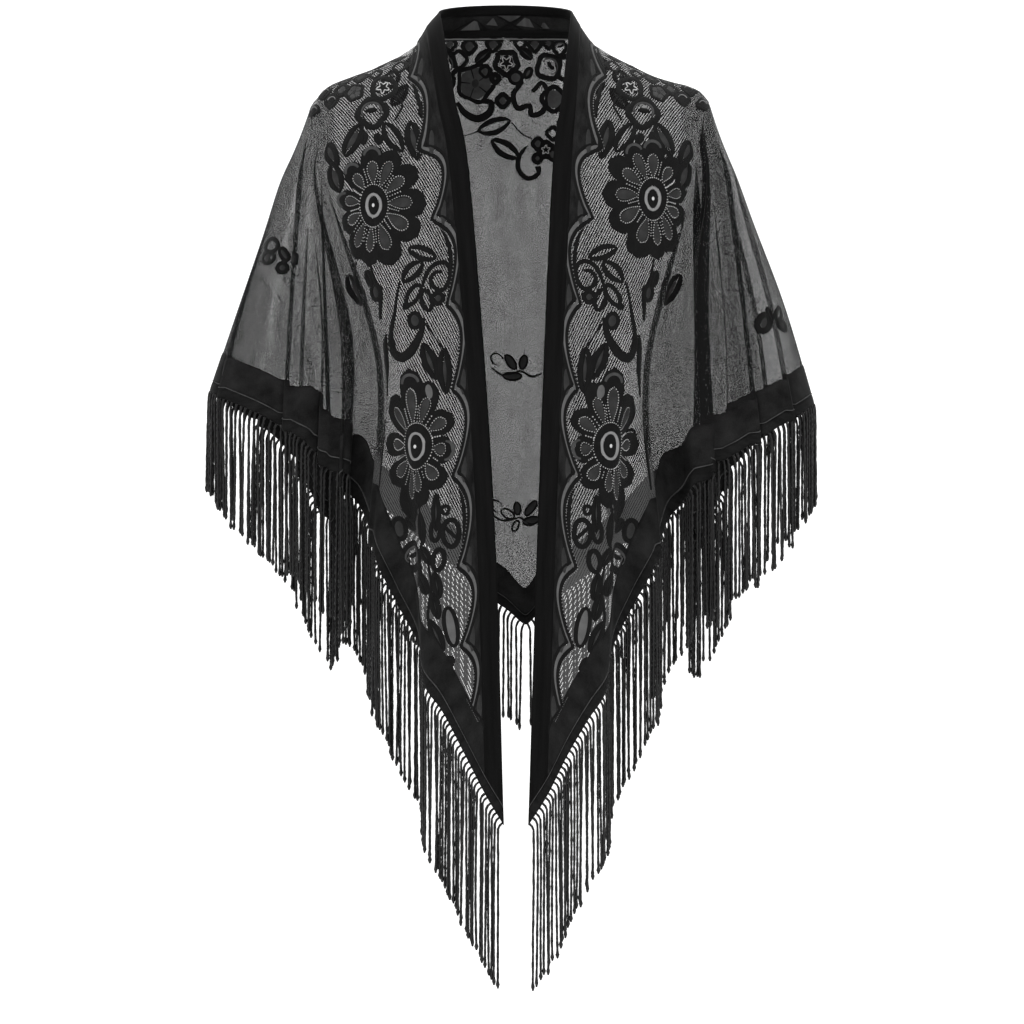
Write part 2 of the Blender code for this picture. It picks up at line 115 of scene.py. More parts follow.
# Across the back from -X to +X. Below the neck a row starts with a turn round the neck band, in degrees.
backRows = (
    (-203, -11, -232, 29, -265, 33, -293, 32, -300),
    (-201, -7, -222, 50, -246, 57, -260, 54, -321),
    (-198, -7, -211, 62, -222, 66, -227, 62, -352),
    (-195, -2, -204, 66, -207, 62, -206, 56, -392),
    (-191, 4, -197, 71, -194, 64, -189, 56, -432),
    (-186, 8, -189, 78, -184, 76, -180, 72, -424),
    (-178, 14, -177, 87, -173, 94, -171, 92, -392),
    (-158, 26, -152, 98, -148, 105, -146, 107, -398),
    (-127, 41, -118, 105, -110, 107, -104, 102, -432),
    (-100, 58, -92, 107, -82, 106, -74, 106, -457),
    (0, -84, 107, -70, 108, -61, 104, -468),
    (30, -63, 108, -50, 108, -40, 103, -486),
    (60, -34, 108, -22, 107, -13, 106, -508),
    (90, -4, 108, 7, 108, 13, 104, -528),
    (120, 28, 108, 31, 107, 36, 106, -508),
    (150, 56, 108, 58, 108, 62, 103, -487),
    (180, 77, 107, 79, 108, 84, 104, -470),
    (82, 60, 88, 107, 92, 106, 98, 106, -458),
    (110, 43, 113, 105, 117, 107, 124, 102, -436),
    (141, 28, 144, 98, 150, 105, 152, 107, -408),
    (166, 17, 171, 87, 175, 94, 177, 92, -404),
    (176, 12, 182, 78, 185, 76, 183, 72, -434),
    (183, 8, 190, 71, 194, 64, 191, 56, -441),
    (188, 3, 199, 66, 207, 62, 208, 56, -402),
    (192, -3, 207, 62, 224, 66, 229, 62, -361),
    (195, -6, 218, 50, 246, 57, 260, 54, -332),
    (197, -12, 227, 29, 264, 32, 292, 32, -314),
)
neckTop = {"left": -74.0, "right": 59.0, "depth": 60.0, "height": 92.5, "rise": 12.5}
neckBase = {"left": -94.5, "right": 75.5, "depth": 64.0, "height": 65.0, "rise": 7.0}
netBehindNeck = 1.05  # How far the net's top lies outside the base of the neck band


def unit(vectors):
    return vectors / np.maximum(np.linalg.norm(vectors, axis=-1, keepdims=True), 1e-9)


def neckPoint(line, turn, further=0.0):
    middle = (line["left"] + line["right"]) / 2
    half = (line["right"] - line["left"]) / 2 + further
    behind = np.sin(turn)
    height = line["height"] + line["rise"] * behind
    return (middle - half * np.cos(turn), (line["depth"] + further) * behind, height)


def ribPoints(row, side=1):
    *ridge, chestOut, chestY, waistOut, waistY, hemOut, hemY, hemZ = row
    if len(ridge) == 1:
        top = neckPoint(neckBase, np.radians(ridge[0]), netBehindNeck)
    else:
        top = (side * ridge[0], 0, ridge[1])
    return np.array([top, (side * chestOut, chestY, chestHeight),
                     (side * waistOut, waistY, (chestHeight + hemZ) / 2), (side * hemOut, hemY, hemZ)], float)


def spline(points, ghostStart, ghostEnd, at):
    rows = np.concatenate([ghostStart[None], points, ghostEnd[None]])
    cell = np.clip(np.floor(at).astype(int), 0, len(points) - 2)
    t = (at - cell).reshape((-1,) + (1,) * (points.ndim - 1))
    before, start, end, after = rows[cell], rows[cell + 1], rows[cell + 2], rows[cell + 3]
    straight = end - start
    leave, arrive = (end - before) / 2, (after - start) / 2
    return (start + leave * t + (3 * straight - 2 * leave - arrive) * t ** 2
            + (leave + arrive - 2 * straight) * t ** 3)


def alongPath(path):
    return np.concatenate([[0.0], np.cumsum(np.linalg.norm(np.diff(path, axis=0), axis=1))])


def pick(wanted, along, values):
    # Rows of values read at the wanted places along a line
    return np.stack([np.interp(wanted, along, column) for column in values.T], axis=1)


def pair(first, second):
    return np.stack(np.broadcast_arrays(first, second), axis=-1)


def evenly(path, count):
    along = alongPath(path)
    return pick(np.linspace(0.0, along[-1], count), along, path)


def ribCurve(rib):
    # From the shoulder line, over the round of the shoulder and down to the hem
    count = 120
    ridge, chest, waist, hem = rib
    over = []
    for turn in np.radians((0.0, 30.0, 60.0)):
        place = ridge + (chest - ridge) * (1 - np.cos(turn))
        place[1] = ridge[1] + (chest[1] - ridge[1]) * np.sin(turn)
        over.append(place)
    points = np.array(over + [chest, waist, hem])
    mirrored = points[1] * (1, -1, 1) + (0, 2 * ridge[1], 0)
    return evenly(spline(points, mirrored, 2 * hem - waist, np.linspace(0, 5, count)), count)


def smoothed(values, rounds):
    result = values.copy()
    for _ in range(rounds):
        result[1:-1] = (result[:-2] + 2 * result[1:-1] + result[2:]) / 4
    return result


def smoothStep(value, start, end):
    share = np.clip((value - start) / (end - start), 0, 1)
    return share * share * (3 - 2 * share)


# The cloth stands out a little over the corner of each shoulder and down the upper arm
shoulder = {"at": 184, "wide": 25, "deep": 42, "rise": 5.4, "out": 4.2,
            "armOut": 2.5, "armDown": 60, "armDeep": 45, "armFrom": (170, 215)}
# A crease keeps to its share of the room up to the next one
creaseShape = {"room": 0.55, "mostOverlap": 1.3, "lift": 3.0, "liftShare": 0.35}
rowStep = 3.5
topEdge = 0.5  # Worked shapes stay this far below the shoulder line


class Stretch:
    # A stretch of cloth on its ribs, with its creases. "column" counts columns, "down" runs along a rib.
    # "side" is -1 for a front and 1 for the back, "outward" turns the normals out, "armFirst" says that
    # the first rib too lies at an arm, and "zeroRib" is where the way across starts.
    def __init__(self, ribs, side, outward, armFirst, columns, zeroRib, creases, swells):
        curves = np.array([ribCurve(rib) for rib in ribs])
        self.last = len(ribs) - 1
        self.columns = columns
        self.ribs = np.linspace(0, self.last, columns)
        ghosts = []
        for end, beside, atArm in ((0, 1, armFirst), (-1, -2, True)):
            ghost = 2 * curves[end] - curves[beside]
            if atArm:
                ghost = curves[beside].copy()
                ghost[:, 1] = 2 * curves[end][:, 1] - ghost[:, 1]
            ghosts.append(ghost)
        lines = spline(curves, ghosts[0], ghosts[1], self.ribs)
        self.length = np.linalg.norm(np.diff(lines, axis=1), axis=2).sum(axis=1)
        self.down = np.arange(0, self.length.max() + 4 * rowStep, rowStep)
        place = self.down[None] / self.length[:, None] * (lines.shape[1] - 1)
        low = np.clip(place.astype(int), 0, lines.shape[1] - 2)
        share = (place - low)[..., None]
        index = np.arange(columns)[:, None]
        points = lines[index, low] * (1 - share) + lines[index, low + 1] * share
        points[..., 1] = side * np.maximum(side * points[..., 1], 0)
        out = np.abs(points[..., 0])
        corner = np.exp(-((out - shoulder["at"]) / shoulder["wide"]) ** 2)
        corner = corner * np.exp(-(self.down / shoulder["deep"]) ** 2)
        arm = shoulder["armOut"] * np.exp(-((self.down - shoulder["armDown"]) / shoulder["armDeep"]) ** 2)
        arm = arm * smoothStep(out, *shoulder["armFrom"])
        points[..., 2] += shoulder["rise"] * corner
        points[..., 0] += (shoulder["out"] * corner + arm) * np.sign(points[..., 0])
        self.ends = [(0, side if armFirst else 0), (-1, -side)]
        self.outward = outward
        self.points = points
        self.findNormals()
        self.findSlant(lines)
        self.bend(self.acrossFrom(0), creases, swells)
        self.findNormals()
        self.across = self.acrossFrom(zeroRib)
        self.reach = (self.across.min(), self.across.max())
        wanted = np.arange(self.reach[0], self.reach[1], 1.0)
        numbers = np.arange(columns)
        self.inverse = np.stack([np.interp(wanted, self.across[:, row], numbers)
                                 for row in range(len(self.down))], axis=1)

    def findNormals(self):
        across = np.gradient(self.points, axis=0)
        for end, turn in self.ends:
            if turn:
                across[end] = (0, turn, 0)
        self.sideways = unit(across)
        self.normals = unit(np.cross(across, np.gradient(self.points, axis=1))) * self.outward

    def findSlant(self, lines):
        # How far down the rib a width measured square to the hem reaches
        places = np.linspace(0, self.last, self.last * 4 + 1)
        hem = lines[:, -1]
        before, after = (pick(np.clip(places + step, 0, self.last), self.ribs, hem) for step in (-0.25, 0.25))
        station = int(lines.shape[1] * 0.93)
        drop = pick(places, self.ribs, hem - lines[:, station])
        cosine = np.abs((unit(after - before) * unit(drop)).sum(axis=1))
        slant = 1 / np.sqrt(1 - np.minimum(cosine, 0.8) ** 2)
        self.slant = np.interp(self.ribs, places, smoothed(slant, 4))

    def acrossFrom(self, zeroRib):
        steps = np.linalg.norm(np.diff(self.points, axis=0), axis=2)
        across = np.concatenate([np.zeros((1, len(self.down))), np.cumsum(steps, axis=0)])
        return across - self.atRib(across, np.full(len(self.down), float(zeroRib)))

    def atRib(self, values, rib):
        # One value a row, at that row's own rib
        column = rib / self.last * (self.columns - 1)
        low = np.clip(column.astype(int), 0, self.columns - 2)
        share = column - low
        rows = np.arange(len(self.down))
        return values[low, rows] * (1 - share) + values[low + 1, rows] * share

    def bend(self, across, creases, swells):
        # A crease slides the cloth over itself and lifts it
        shift = np.zeros_like(self.points)
        self.loose = np.zeros(self.points.shape[:2])
        centres = [self.atRib(across, np.interp(self.down, *zip(*row[0]))) for row in creases]
        for number, (_, overlap, reach, start, full, loose) in enumerate(creases):
            centre = centres[number]
            others = centres[:number] + centres[number + 1:]
            room = [np.abs(other - centre) * creaseShape["room"] for other in others]
            width = np.minimum.reduce([np.full(len(self.down), float(reach)), *room])
            grown = smoothStep(self.down, start, full)
            over = np.minimum(np.interp(self.down, *zip(*overlap)), width * creaseShape["mostOverlap"])
            slide = grown * (over + width) / 2
            lift = grown * np.minimum(creaseShape["lift"], creaseShape["liftShare"] * width)
            turn = np.clip((across - centre) / np.maximum(width, 0.1), -1, 1)
            near = np.clip(1.4 - 1.4 * np.abs(turn), 0, 1)
            self.loose = np.maximum(self.loose, near * grown * loose)
            wave = np.sin(np.pi * turn)[..., None]
            shift -= wave * (slide[:, None] * self.sideways + lift[:, None] * self.normals)
        for runs, width, depth, grows, fades in swells:
            centre = self.atRib(across, np.interp(self.down, *zip(*runs)))
            grown = smoothStep(self.down, *grows) * (1 - smoothStep(self.down, *fades))
            bump = np.exp(-((across - centre) / width) ** 2) * grown * depth
            shift += bump[..., None] * self.normals
        # Stretches that meet at an arm keep their shared rib, and all keep the shoulder line
        fade = np.ones(self.columns)
        for end, turn in self.ends:
            if turn:
                fade *= smoothStep(np.abs(self.ribs - (0 if end == 0 else self.last)), 0.0, 0.8)
        self.points = self.points + shift * fade[:, None, None] * smoothStep(self.down, 0, 25)[None, :, None]

    def read(self, values, column, down):
        row = np.clip(down / rowStep, 0, len(self.down) - 1.001)
        low, upper = np.clip(column.astype(int), 0, len(values) - 2), row.astype(int)
        a, b = column - low, row - upper
        if values.ndim == 3:
            a, b = a[..., None], b[..., None]
        first = values[low, upper] * (1 - a) + values[low + 1, upper] * a
        second = values[low, upper + 1] * (1 - a) + values[low + 1, upper + 1] * a
        return first * (1 - b) + second * b

    def columnOf(self, across, down):
        return self.read(self.inverse, np.clip(across - self.reach[0], 0, len(self.inverse) - 1.001), down)

    def at(self, column, down):
        return self.read(self.points, column, down), unit(self.read(self.normals, column, down))

    def lay(self, flat):
        # Points and normals at flat places (across, down), kept above the hem band
        down = np.maximum(flat[..., 1], topEdge)
        column = self.columnOf(flat[..., 0], down)
        down = np.minimum(down, self.aboveHem(column, wholeHem - underHem["worked"]))
        return self.at(self.columnOf(flat[..., 0], down), down)

    def aboveHem(self, column, width):
        numbers = np.arange(self.columns)
        return np.interp(column, numbers, self.length) - width * np.interp(column, numbers, self.slant)

    def columnAt(self, rib):
        return np.asarray(rib, float) / self.last * (self.columns - 1)


def gridFaces(columns, rows, first=0, wrap=False):
    index = first + np.arange(columns * rows).reshape(columns, rows)
    beside = np.roll(index, -1, axis=0)
    if not wrap:
        index, beside = index[:-1], beside[:-1]
    quads = [index[:, :-1], beside[:, :-1], beside[:, 1:], index[:, 1:]]
    return np.stack(quads, axis=-1).reshape(-1, 4)


def putInScene(name, data):
    thing = bpy.data.objects.new(name, data)
    bpy.context.scene.collection.objects.link(thing)
    return thing


class Pile:
    # Vertices, quads, flat coordinates and material numbers of a piece, as they are added
    def __init__(self):
        self.vertices, self.quads, self.flats, self.kinds, self.count = [], [], [], [], 0

    def add(self, vertices, quads, flats, kind=0):
        vertices = np.asarray(vertices).reshape(-1, 3)
        self.vertices.append(vertices)
        self.flats.append(np.asarray(flats).reshape(-1, 2))
        self.quads.append(quads + self.count)
        self.kinds.append(np.full(len(quads), kind))
        self.count += len(vertices)

    def wall(self, points, normals, half, flats, kind=0):
        # A closed wall on a grid of points
        columns, rows = points.shape[:2]
        offset = normals * np.broadcast_to(half, (columns, rows))[..., None]
        upper = gridFaces(columns, rows)
        inner = columns * rows
        rim = [column * rows for column in range(columns)]
        rim += [(columns - 1) * rows + row for row in range(1, rows)]
        rim += [column * rows + rows - 1 for column in reversed(range(columns - 1))]
        rim += [row for row in reversed(range(1, rows - 1))]
        here = np.array(rim)
        there = np.roll(here, -1)
        sides = np.stack([there, here, inner + here, inner + there], axis=1)
        vertices = np.concatenate([(points + offset).reshape(-1, 3), (points - offset).reshape(-1, 3)])
        both = np.concatenate([flats.reshape(-1, 2)] * 2)
        self.add(vertices, np.concatenate([upper, upper[:, ::-1] + inner, sides]), both, kind)

    def make(self, name, materials, attributes=None):
        vertices = np.concatenate(self.vertices) * mm
        quads = np.concatenate(self.quads)
        flats = np.concatenate(self.flats)
        mesh = bpy.data.meshes.new(name)
        mesh.vertices.add(len(vertices))
        mesh.vertices.foreach_set("co", vertices.astype(np.float32).ravel())
        mesh.loops.add(quads.size)
        mesh.loops.foreach_set("vertex_index", quads.astype(np.int32).ravel())
        mesh.polygons.add(len(quads))
        mesh.polygons.foreach_set("loop_start", np.arange(0, quads.size, 4, dtype=np.int32))
        for material in materials:
            mesh.materials.append(material)
        mesh.polygons.foreach_set("material_index", np.concatenate(self.kinds).astype(np.int32))
        layer = mesh.uv_layers.new(name="flat")
        layer.data.foreach_set("uv", (flats[quads.ravel()] * 0.01).astype(np.float32).ravel())
        for key, values in (attributes or {}).items():
            attribute = mesh.attributes.new(key, "FLOAT", "POINT")
            attribute.data.foreach_set("value", np.asarray(values, np.float32).ravel())
        mesh.update(calc_edges=True)
        mesh.validate()
        mesh.shade_smooth()
        thing = putInScene(name, mesh)
        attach(thing, "root")
        return thing


class Nodes:
    # A short way to write a material's nodes
    def __init__(self, name):
        self.material = bpy.data.materials.new(name)
        self.material.use_nodes = True
        self.tree = self.material.node_tree
        self.shader = self.tree.nodes["Principled BSDF"]

    def node(self, kind, **inputs):
        made = self.tree.nodes.new("ShaderNode" + kind)
        for key, value in inputs.items():
            self.put(made, key, value)
        return made

    def put(self, node, key, value):
        socket = node.inputs[int(key[1:])] if key[0] == "i" and key[1:].isdigit() else node.inputs[key]
        if isinstance(value, bpy.types.NodeSocket):
            self.tree.links.new(value, socket)
        else:
            socket.default_value = value

    def math(self, operation, *values):
        made = self.tree.nodes.new("ShaderNodeMath")
        made.operation = operation
        for number, value in enumerate(values):
            self.put(made, f"i{number}", value)
        return made.outputs[0]

    def add(self, first, second):
        return self.math("ADD", first, second)

    def minus(self, first, second):
        return self.math("SUBTRACT", first, second)

    def times(self, first, second):
        return self.math("MULTIPLY", first, second)

    def range(self, value, start, end, low, high):
        return self.node("MapRange", i0=value, i1=start, i2=end, i3=low, i4=high).outputs[0]

    def noise(self, vector, scale, detail=2.0, roughness=0.5):
        made = self.node("TexNoise", Vector=vector, Scale=scale, Detail=detail, Roughness=roughness)
        return made.outputs[0]

    def grey(self, value):
        made = self.tree.nodes.new("ShaderNodeCombineColor")
        for key in ("Red", "Green", "Blue"):
            self.put(made, key, value)
        return made.outputs[0]

    def flat(self, wide=1.0, tall=1.0):
        made = self.tree.nodes.new("ShaderNodeUVMap")
        made.uv_map = "flat"
        if wide == tall == 1.0:
            return made.outputs[0]
        mapping = self.tree.nodes.new("ShaderNodeMapping")
        mapping.inputs["Scale"].default_value = (wide, tall, 1.0)
        self.tree.links.new(made.outputs[0], mapping.inputs["Vector"])
        return mapping.outputs[0]

    def attribute(self, name):
        made = self.tree.nodes.new("ShaderNodeAttribute")
        made.attribute_name = name
        return made.outputs["Fac"]

    def bump(self, height, strength, distance):
        made = self.node("Bump", Height=height, Strength=strength, Distance=distance)
        self.put(self.shader, "Normal", made.outputs[0])

    def finish(self, colour, roughness, gloss=0.12, sheen=0.0):
        self.put(self.shader, "Base Color", self.grey(colour) if not isinstance(colour, tuple) else colour)
        self.put(self.shader, "Roughness", roughness)
        self.put(self.shader, "Specular IOR Level", gloss)
        self.put(self.shader, "Sheen Weight", sheen)
        self.put(self.shader, "Sheen Roughness", 0.45)
        return self.material


net = {
    # The second value is a painted sheen, added to the threads' colour on the lower fronts
    "colour": 0.004, "paintedSheenAdds": 0.05, "wander": 0.022,
    "cell": 0.0228, "slants": ((0.93, 0.37, 1.0), (0.40, -0.92, 0.35)),  # Both families and their thickness
    "grains": ((90.0, 0.485), (165.0, 0.52)),  # How fine, and how wide a thread is in its cell
}


def netLook(name):
    # How open the net is comes from the cloth: slanting threads, or small uneven cells of two kinds
    made = Nodes(name)
    flat = made.flat()
    split = made.node("SeparateXYZ", i0=flat).outputs
    wander = made.times(made.minus(made.noise(flat, 30.0), 0.5), net["wander"])
    x, y = made.add(split[0], wander), made.minus(split[1], wander)
    cloud = made.minus(made.noise(flat, 6.0, 4.0, 0.65), 0.5)
    streak = made.minus(made.noise(made.flat(1.0, 0.10), 9.0, 3.0), 0.5)
    uneven = made.add(made.times(cloud, 0.5), made.times(streak, 0.7))
    openShare = made.times(made.attribute("open"), made.add(1.0, uneven))
    thread = made.minus(1.0, made.math("SQRT", made.math("MAXIMUM", openShare, 0.01)))
    # One family of slanting threads is thicker, and both together leave the same share open
    root = made.math("SQRT", made.add(0.4225, made.times(openShare, 1.4)))
    thick = made.math("DIVIDE", made.minus(1.35, root), 0.7)
    lines = []
    for towardsX, towardsY, share in net["slants"]:
        along = made.add(made.times(x, towardsX / net["cell"]), made.times(y, towardsY / net["cell"]))
        inCell = made.math("ABSOLUTE", made.minus(made.math("FRACT", along), 0.5))
        edge = made.minus(0.5, made.times(made.times(thick, share), 0.5))
        lines.append(made.math("GREATER_THAN", inCell, edge))
    covers = [made.math("MAXIMUM", *lines)]
    slanting = made.node("CombineXYZ", i0=made.add(made.times(x, 1.05), made.times(y, 0.55)),
                         i1=made.minus(made.times(y, 0.62), made.times(x, 0.36))).outputs[0]
    for grain, (scale, share) in zip((slanting, flat), net["grains"]):
        cells = made.node("TexVoronoi")
        cells.voronoi_dimensions = "2D"
        cells.feature = "DISTANCE_TO_EDGE"
        for key, value in (("Vector", grain), ("Scale", scale), ("Randomness", 0.8)):
            made.put(cells, key, value)
        covers.append(made.math("LESS_THAN", cells.outputs["Distance"], made.times(thread, share)))
    alpha = 0.0
    for number, cover in enumerate(covers):
        mine = made.math("COMPARE", made.attribute("weave"), float(number), 0.5)
        alpha = made.add(alpha, made.times(cover, mine))
    made.put(made.shader, "Alpha", alpha)
    tint = made.range(made.noise(flat, 60.0), 0.3, 0.7, net["colour"] * 0.7, net["colour"] * 1.35)
    # Painted sheen: the threads are made paler where the net's sheen attribute is set, on the lower fronts
    tint = made.add(tint, made.times(made.attribute("paintedSheen"), net["paintedSheenAdds"]))
    return made.finish(tint, 0.75, 0.08, 0.03)


def threadLook(name, low, high, ridges=0.55, gloss=0.07, roughness=0.6):
    # Satin threads laid side by side across a worked shape
    made = Nodes(name)
    flat = made.flat()
    strands = made.tree.nodes.new("ShaderNodeTexWave")
    strands.bands_direction = "X"
    made.put(strands, "Vector", flat)
    made.put(strands, "Scale", 45.0)
    made.put(strands, "Distortion", 1.4)
    made.put(strands, "Detail", 2.0)
    cloud = made.noise(flat, 9.0, 3.0)
    shade = made.add(made.times(strands.outputs[0], 0.35), made.times(cloud, 0.65))
    made.bump(strands.outputs[0], ridges, 0.0004)
    return made.finish(made.range(shade, 0.25, 0.75, low, high), roughness, gloss, 0.02)


def clothLook(name, low, high, streaks, cloud=3.0):
    # Close plain cloth; streaks stretch its unevenness along the band
    made = Nodes(name)
    pulled = made.flat(*streaks)
    blotch = made.noise(pulled, cloud, 5.0, 0.6)
    grain = made.noise(made.flat(), 75.0, 2.0)
    shade = made.add(made.times(blotch, 0.75), made.times(grain, 0.25))
    made.bump(made.add(blotch, made.times(grain, 0.4)), 0.35, 0.0006)
    return made.finish(made.range(shade, 0.36, 0.66, low, high), 0.72, 0.06, 0.02)


looks = {
    "net": netLook("netThread"),
    "dense": threadLook("denseStitch", 0.0016, 0.0055),
    "half": threadLook("halfStitch", 0.009, 0.034),
    "light": threadLook("lightStitch", 0.34, 0.56, 0.3, 0.2),
    "ring": threadLook("ringStitch", 0.13, 0.22, 0.3, 0.1),
    "line": threadLook("seamStitch", 0.012, 0.060, 0.3, 0.1),
    "pale": threadLook("paleStitch", 0.055, 0.105, 0.4, 0.05),
    "grey": threadLook("greyStitch", 0.024, 0.062, 0.5, 0.05),
    "border": clothLook("borderCloth", 0.0015, 0.014, (1.6, 0.6), 7.0),
    "veil": clothLook("sheerPatch", 0.014, 0.060, (1.0, 1.0), 9.0),
    "band": clothLook("edgeBand", 0.0006, 0.0032, (5.0, 0.35)),
    "hem": clothLook("hemBand", 0.0020, 0.013, (0.8, 0.8), 4.5),
    "tape": clothLook("hemTape", 0.002, 0.009, (0.9, 3.0), 4.0),
    "strand": threadLook("fringeThread", 0.0008, 0.004, 0.2, 0.25, 0.40),
}
print("materials made")

# Each crease: where it runs (down, rib), how far the cloth overlaps there (down, width), its reach to each
# side, where it starts, where it is full, and how much more open the net is in it
creases = {
    "left": (
        (((0, 7.4), (400, 7.7)), ((0, 1), (250, 3), (480, 3)), 9, 90, 260, 0.4),
        (((0, 10.3), (400, 10.6)), ((0, 3), (150, 8), (300, 14), (420, 11)), 15, 30, 110, 0.4),
        (((0, 12.2), (400, 12.1)), ((0, 1), (420, 2.5)), 7, 90, 230, 0.55),
        (((0, 13.9), (400, 13.9)), ((0, 1.5), (420, 3)), 7, 25, 120, 0.5),
        (((0, 16.3), (180, 16.35), (400, 15.9)), ((0, 1), (350, 2)), 7, 60, 220, 0.5),
    ),
    "right": (
        (((0, 7.4), (400, 7.5)), ((0, 1), (250, 2.5), (480, 2)), 9, 120, 260, 0.55),
        (((0, 11.6), (400, 12.0)), ((0, 6), (150, 11), (420, 13)), 15, 30, 90, 0),
        (((0, 14.0), (400, 14.0)), ((0, 1.5), (420, 3)), 9, 40, 120, 0.55),
        (((0, 15.5), (400, 15.5)), ((0, 1), (350, 2.5)), 8, 50, 150, 0.55),
    ),
    "back": (
        (((0, 2.1), (400, 2.0)), ((0, 1), (350, 2)), 8, 40, 160, 0.7),
        (((0, 3.5), (400, 3.4)), ((0, 1), (350, 2)), 8, 60, 190, 0.7),
        (((0, 5.2), (450, 5.3)), ((0, 4), (250, 9), (450, 12)), 14, 40, 150, 0),
        (((0, 22.8), (450, 22.7)), ((0, 4), (250, 10), (450, 11)), 14, 50, 170, 0),
        (((0, 24.7), (400, 24.6)), ((0, 1), (350, 2)), 8, 50, 200, 0.7),
        (((0, 26.0), (400, 26.1)), ((0, 1), (350, 2)), 8, 70, 180, 0.7),
    ),
}
# Each swell: where it runs (down, rib), width, depth, from where to where it grows, and where it fades
swells = {
    "front": (
        (((0, 3.4), (700, 3.0)), 30, 3.5, (120, 320), (600, 760)),
        (((0, 9.2), (400, 9.0)), 12, -3.0, (60, 200), (500, 600)),
        (((0, 13.0), (400, 13.1)), 9, 2.5, (80, 220), (420, 500)),
    ),
    "back": (
        (((0, 9.2), (500, 9.6)), 26, 4.5, (120, 360), (560, 640)),
        (((0, 12.4), (560, 12.8)), 22, -4.0, (180, 420), (600, 680)),
        (((0, 15.7), (560, 15.2)), 24, 3.5, (150, 380), (600, 680)),
        (((0, 19.0), (500, 18.6)), 28, -4.5, (140, 340), (560, 640)),
    ),
}
leftRibs = [ribPoints(row, -1) for row in leftFrontRows]
rightRibs = [ribPoints(row) for row in rightFrontRows]
backRibs = [leftRibs[-1], *(ribPoints(row) for row in backRows), rightRibs[-1]]
left = Stretch(leftRibs, side=-1, outward=1, armFirst=False, columns=340, zeroRib=0,
               creases=creases["left"], swells=swells["front"])
right = Stretch(rightRibs, side=-1, outward=-1, armFirst=False, columns=340, zeroRib=0,
                creases=creases["right"], swells=swells["front"])
back = Stretch(backRibs, side=1, outward=1, armFirst=True, columns=480, zeroRib=14,
               creases=creases["back"], swells=swells["back"])
# The hem of the back comes to a sharper point in the middle, and its band keeps its width there
back.length -= 3.0 * np.sin(np.pi * np.clip(np.abs(back.ribs - 14), 0, 1))
back.slant *= np.interp(back.ribs, (0, 5, 9.5, 18.5, 23, 28), (1, 1, 0.77, 0.77, 1, 1))
fronts = {"left": left, "right": right}
print("cloth shaped", [round(float(part.reach[1] - part.reach[0])) for part in (left, right, back)])


def clothGrid(cloth, columns, starts, ends, rows):
    # Columns of the cloth from the start to the end line, with flat coordinates
    share = np.linspace(0, 1, rows)[None]
    down = starts[:, None] * (1 - share) + ends[:, None] * share
    column = np.repeat(columns[:, None], rows, axis=1)
    points, normals = cloth.at(column, down)
    flats = np.stack([cloth.read(cloth.across, column, down), down], axis=-1)
    return points, normals, flats


mostOpen = 0.62


def netPiece(name, cloth, firstRib, openAt, weaveAt, below=None):
    # The net from its first rib to the arm; "weaveAt" says from which rib another kind of grain begins
    columns = np.arange(cloth.columnAt(firstRib), cloth.columns - 1 + 1e-6)
    columns = np.append(columns[columns < cloth.columns - 1], cloth.columns - 1)
    ends = cloth.aboveHem(columns, wholeHem - underHem["net"])
    rows = 150
    points, _, flats = clothGrid(cloth, columns, columns * 0, ends, rows)
    rib = columns / (cloth.columns - 1) * cloth.last
    shares = np.repeat(np.interp(rib, *zip(*openAt))[:, None], rows, axis=1)
    loose = cloth.read(cloth.loose, np.repeat(columns[:, None], rows, axis=1), flats[..., 1])
    shares = shares + np.maximum(mostOpen - shares, 0) * loose
    paintedSheen = shares * 0
    if below is not None:
        # Closer below the line, and a painted sheen that makes the threads paler where the dark hem hangs
        # behind
        past = flats[..., 1] - np.interp(flats[..., 0], *zip(*below["from"]))
        inner = 1 - smoothStep(rib[:, None], *below["inner"])
        paintedSheen = smoothStep(past, *below["paintedSheen"]) * inner
        closer = (below["share"] - 1) * smoothStep(past, *below["close"]) * inner
        shares = shares * (1 + closer) * (1 - below["closerUnderPaintedSheen"] * paintedSheen)
    weave = np.repeat(np.where(rib < weaveAt[0], 0.0, weaveAt[1])[:, None], rows, axis=1)
    pile = Pile()
    pile.add(points, gridFaces(*points.shape[:2]), flats)
    return pile.make(name, [looks["net"]], {"open": shares, "weave": weave, "paintedSheen": paintedSheen})


# How open the net is across each stretch: (rib, share)
frontOpen = {
    "left": (
        (0, 0.38), (6.6, 0.38), (7.8, 0.25), (10, 0.25), (13, 0.25), (14.4, 0.28), (15.6, 0.23),
        (16.3, 0.14), (17, 0.12),
    ),
    "right": (
        (0, 0.38), (6.6, 0.38), (7.8, 0.25), (11, 0.23), (12.4, 0.22), (13.2, 0.13), (14.3, 0.17),
        (15.0, 0.46), (16.2, 0.38), (17, 0.14),
    ),
}
# The line (across, down) below which no second layer hangs behind, the share that stays open there, and how
# far past the line the net closes and a painted sheen makes its threads paler. Only on the inner ribs.
frontBelow = {
    "from": ((0, 654), (14, 640), (29, 611), (53, 581), (70, 566), (121, 518), (181, 455)),
    "share": 0.42, "close": (-10, 4), "paintedSheen": (-66, -44), "closerUnderPaintedSheen": 0.15, "inner": (7.4, 8.2),
}
backOpen = (
    (0, 0.10), (1.0, 0.28), (10, 0.30), (12, 0.26), (12.8, 0.13), (15.2, 0.13), (16, 0.26), (18, 0.30),
    (27, 0.28), (28, 0.10),
)
netLeft = netPiece("netLeft", left, 0.86, frontOpen["left"], (7.5, 1.0), frontBelow)
netRight = netPiece("netRight", right, 0.86, frontOpen["right"], (7.5, 1.0), frontBelow)
netBack = netPiece("netBack", back, 0.0, backOpen, (-1, 2.0))
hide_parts("lace_front_left")
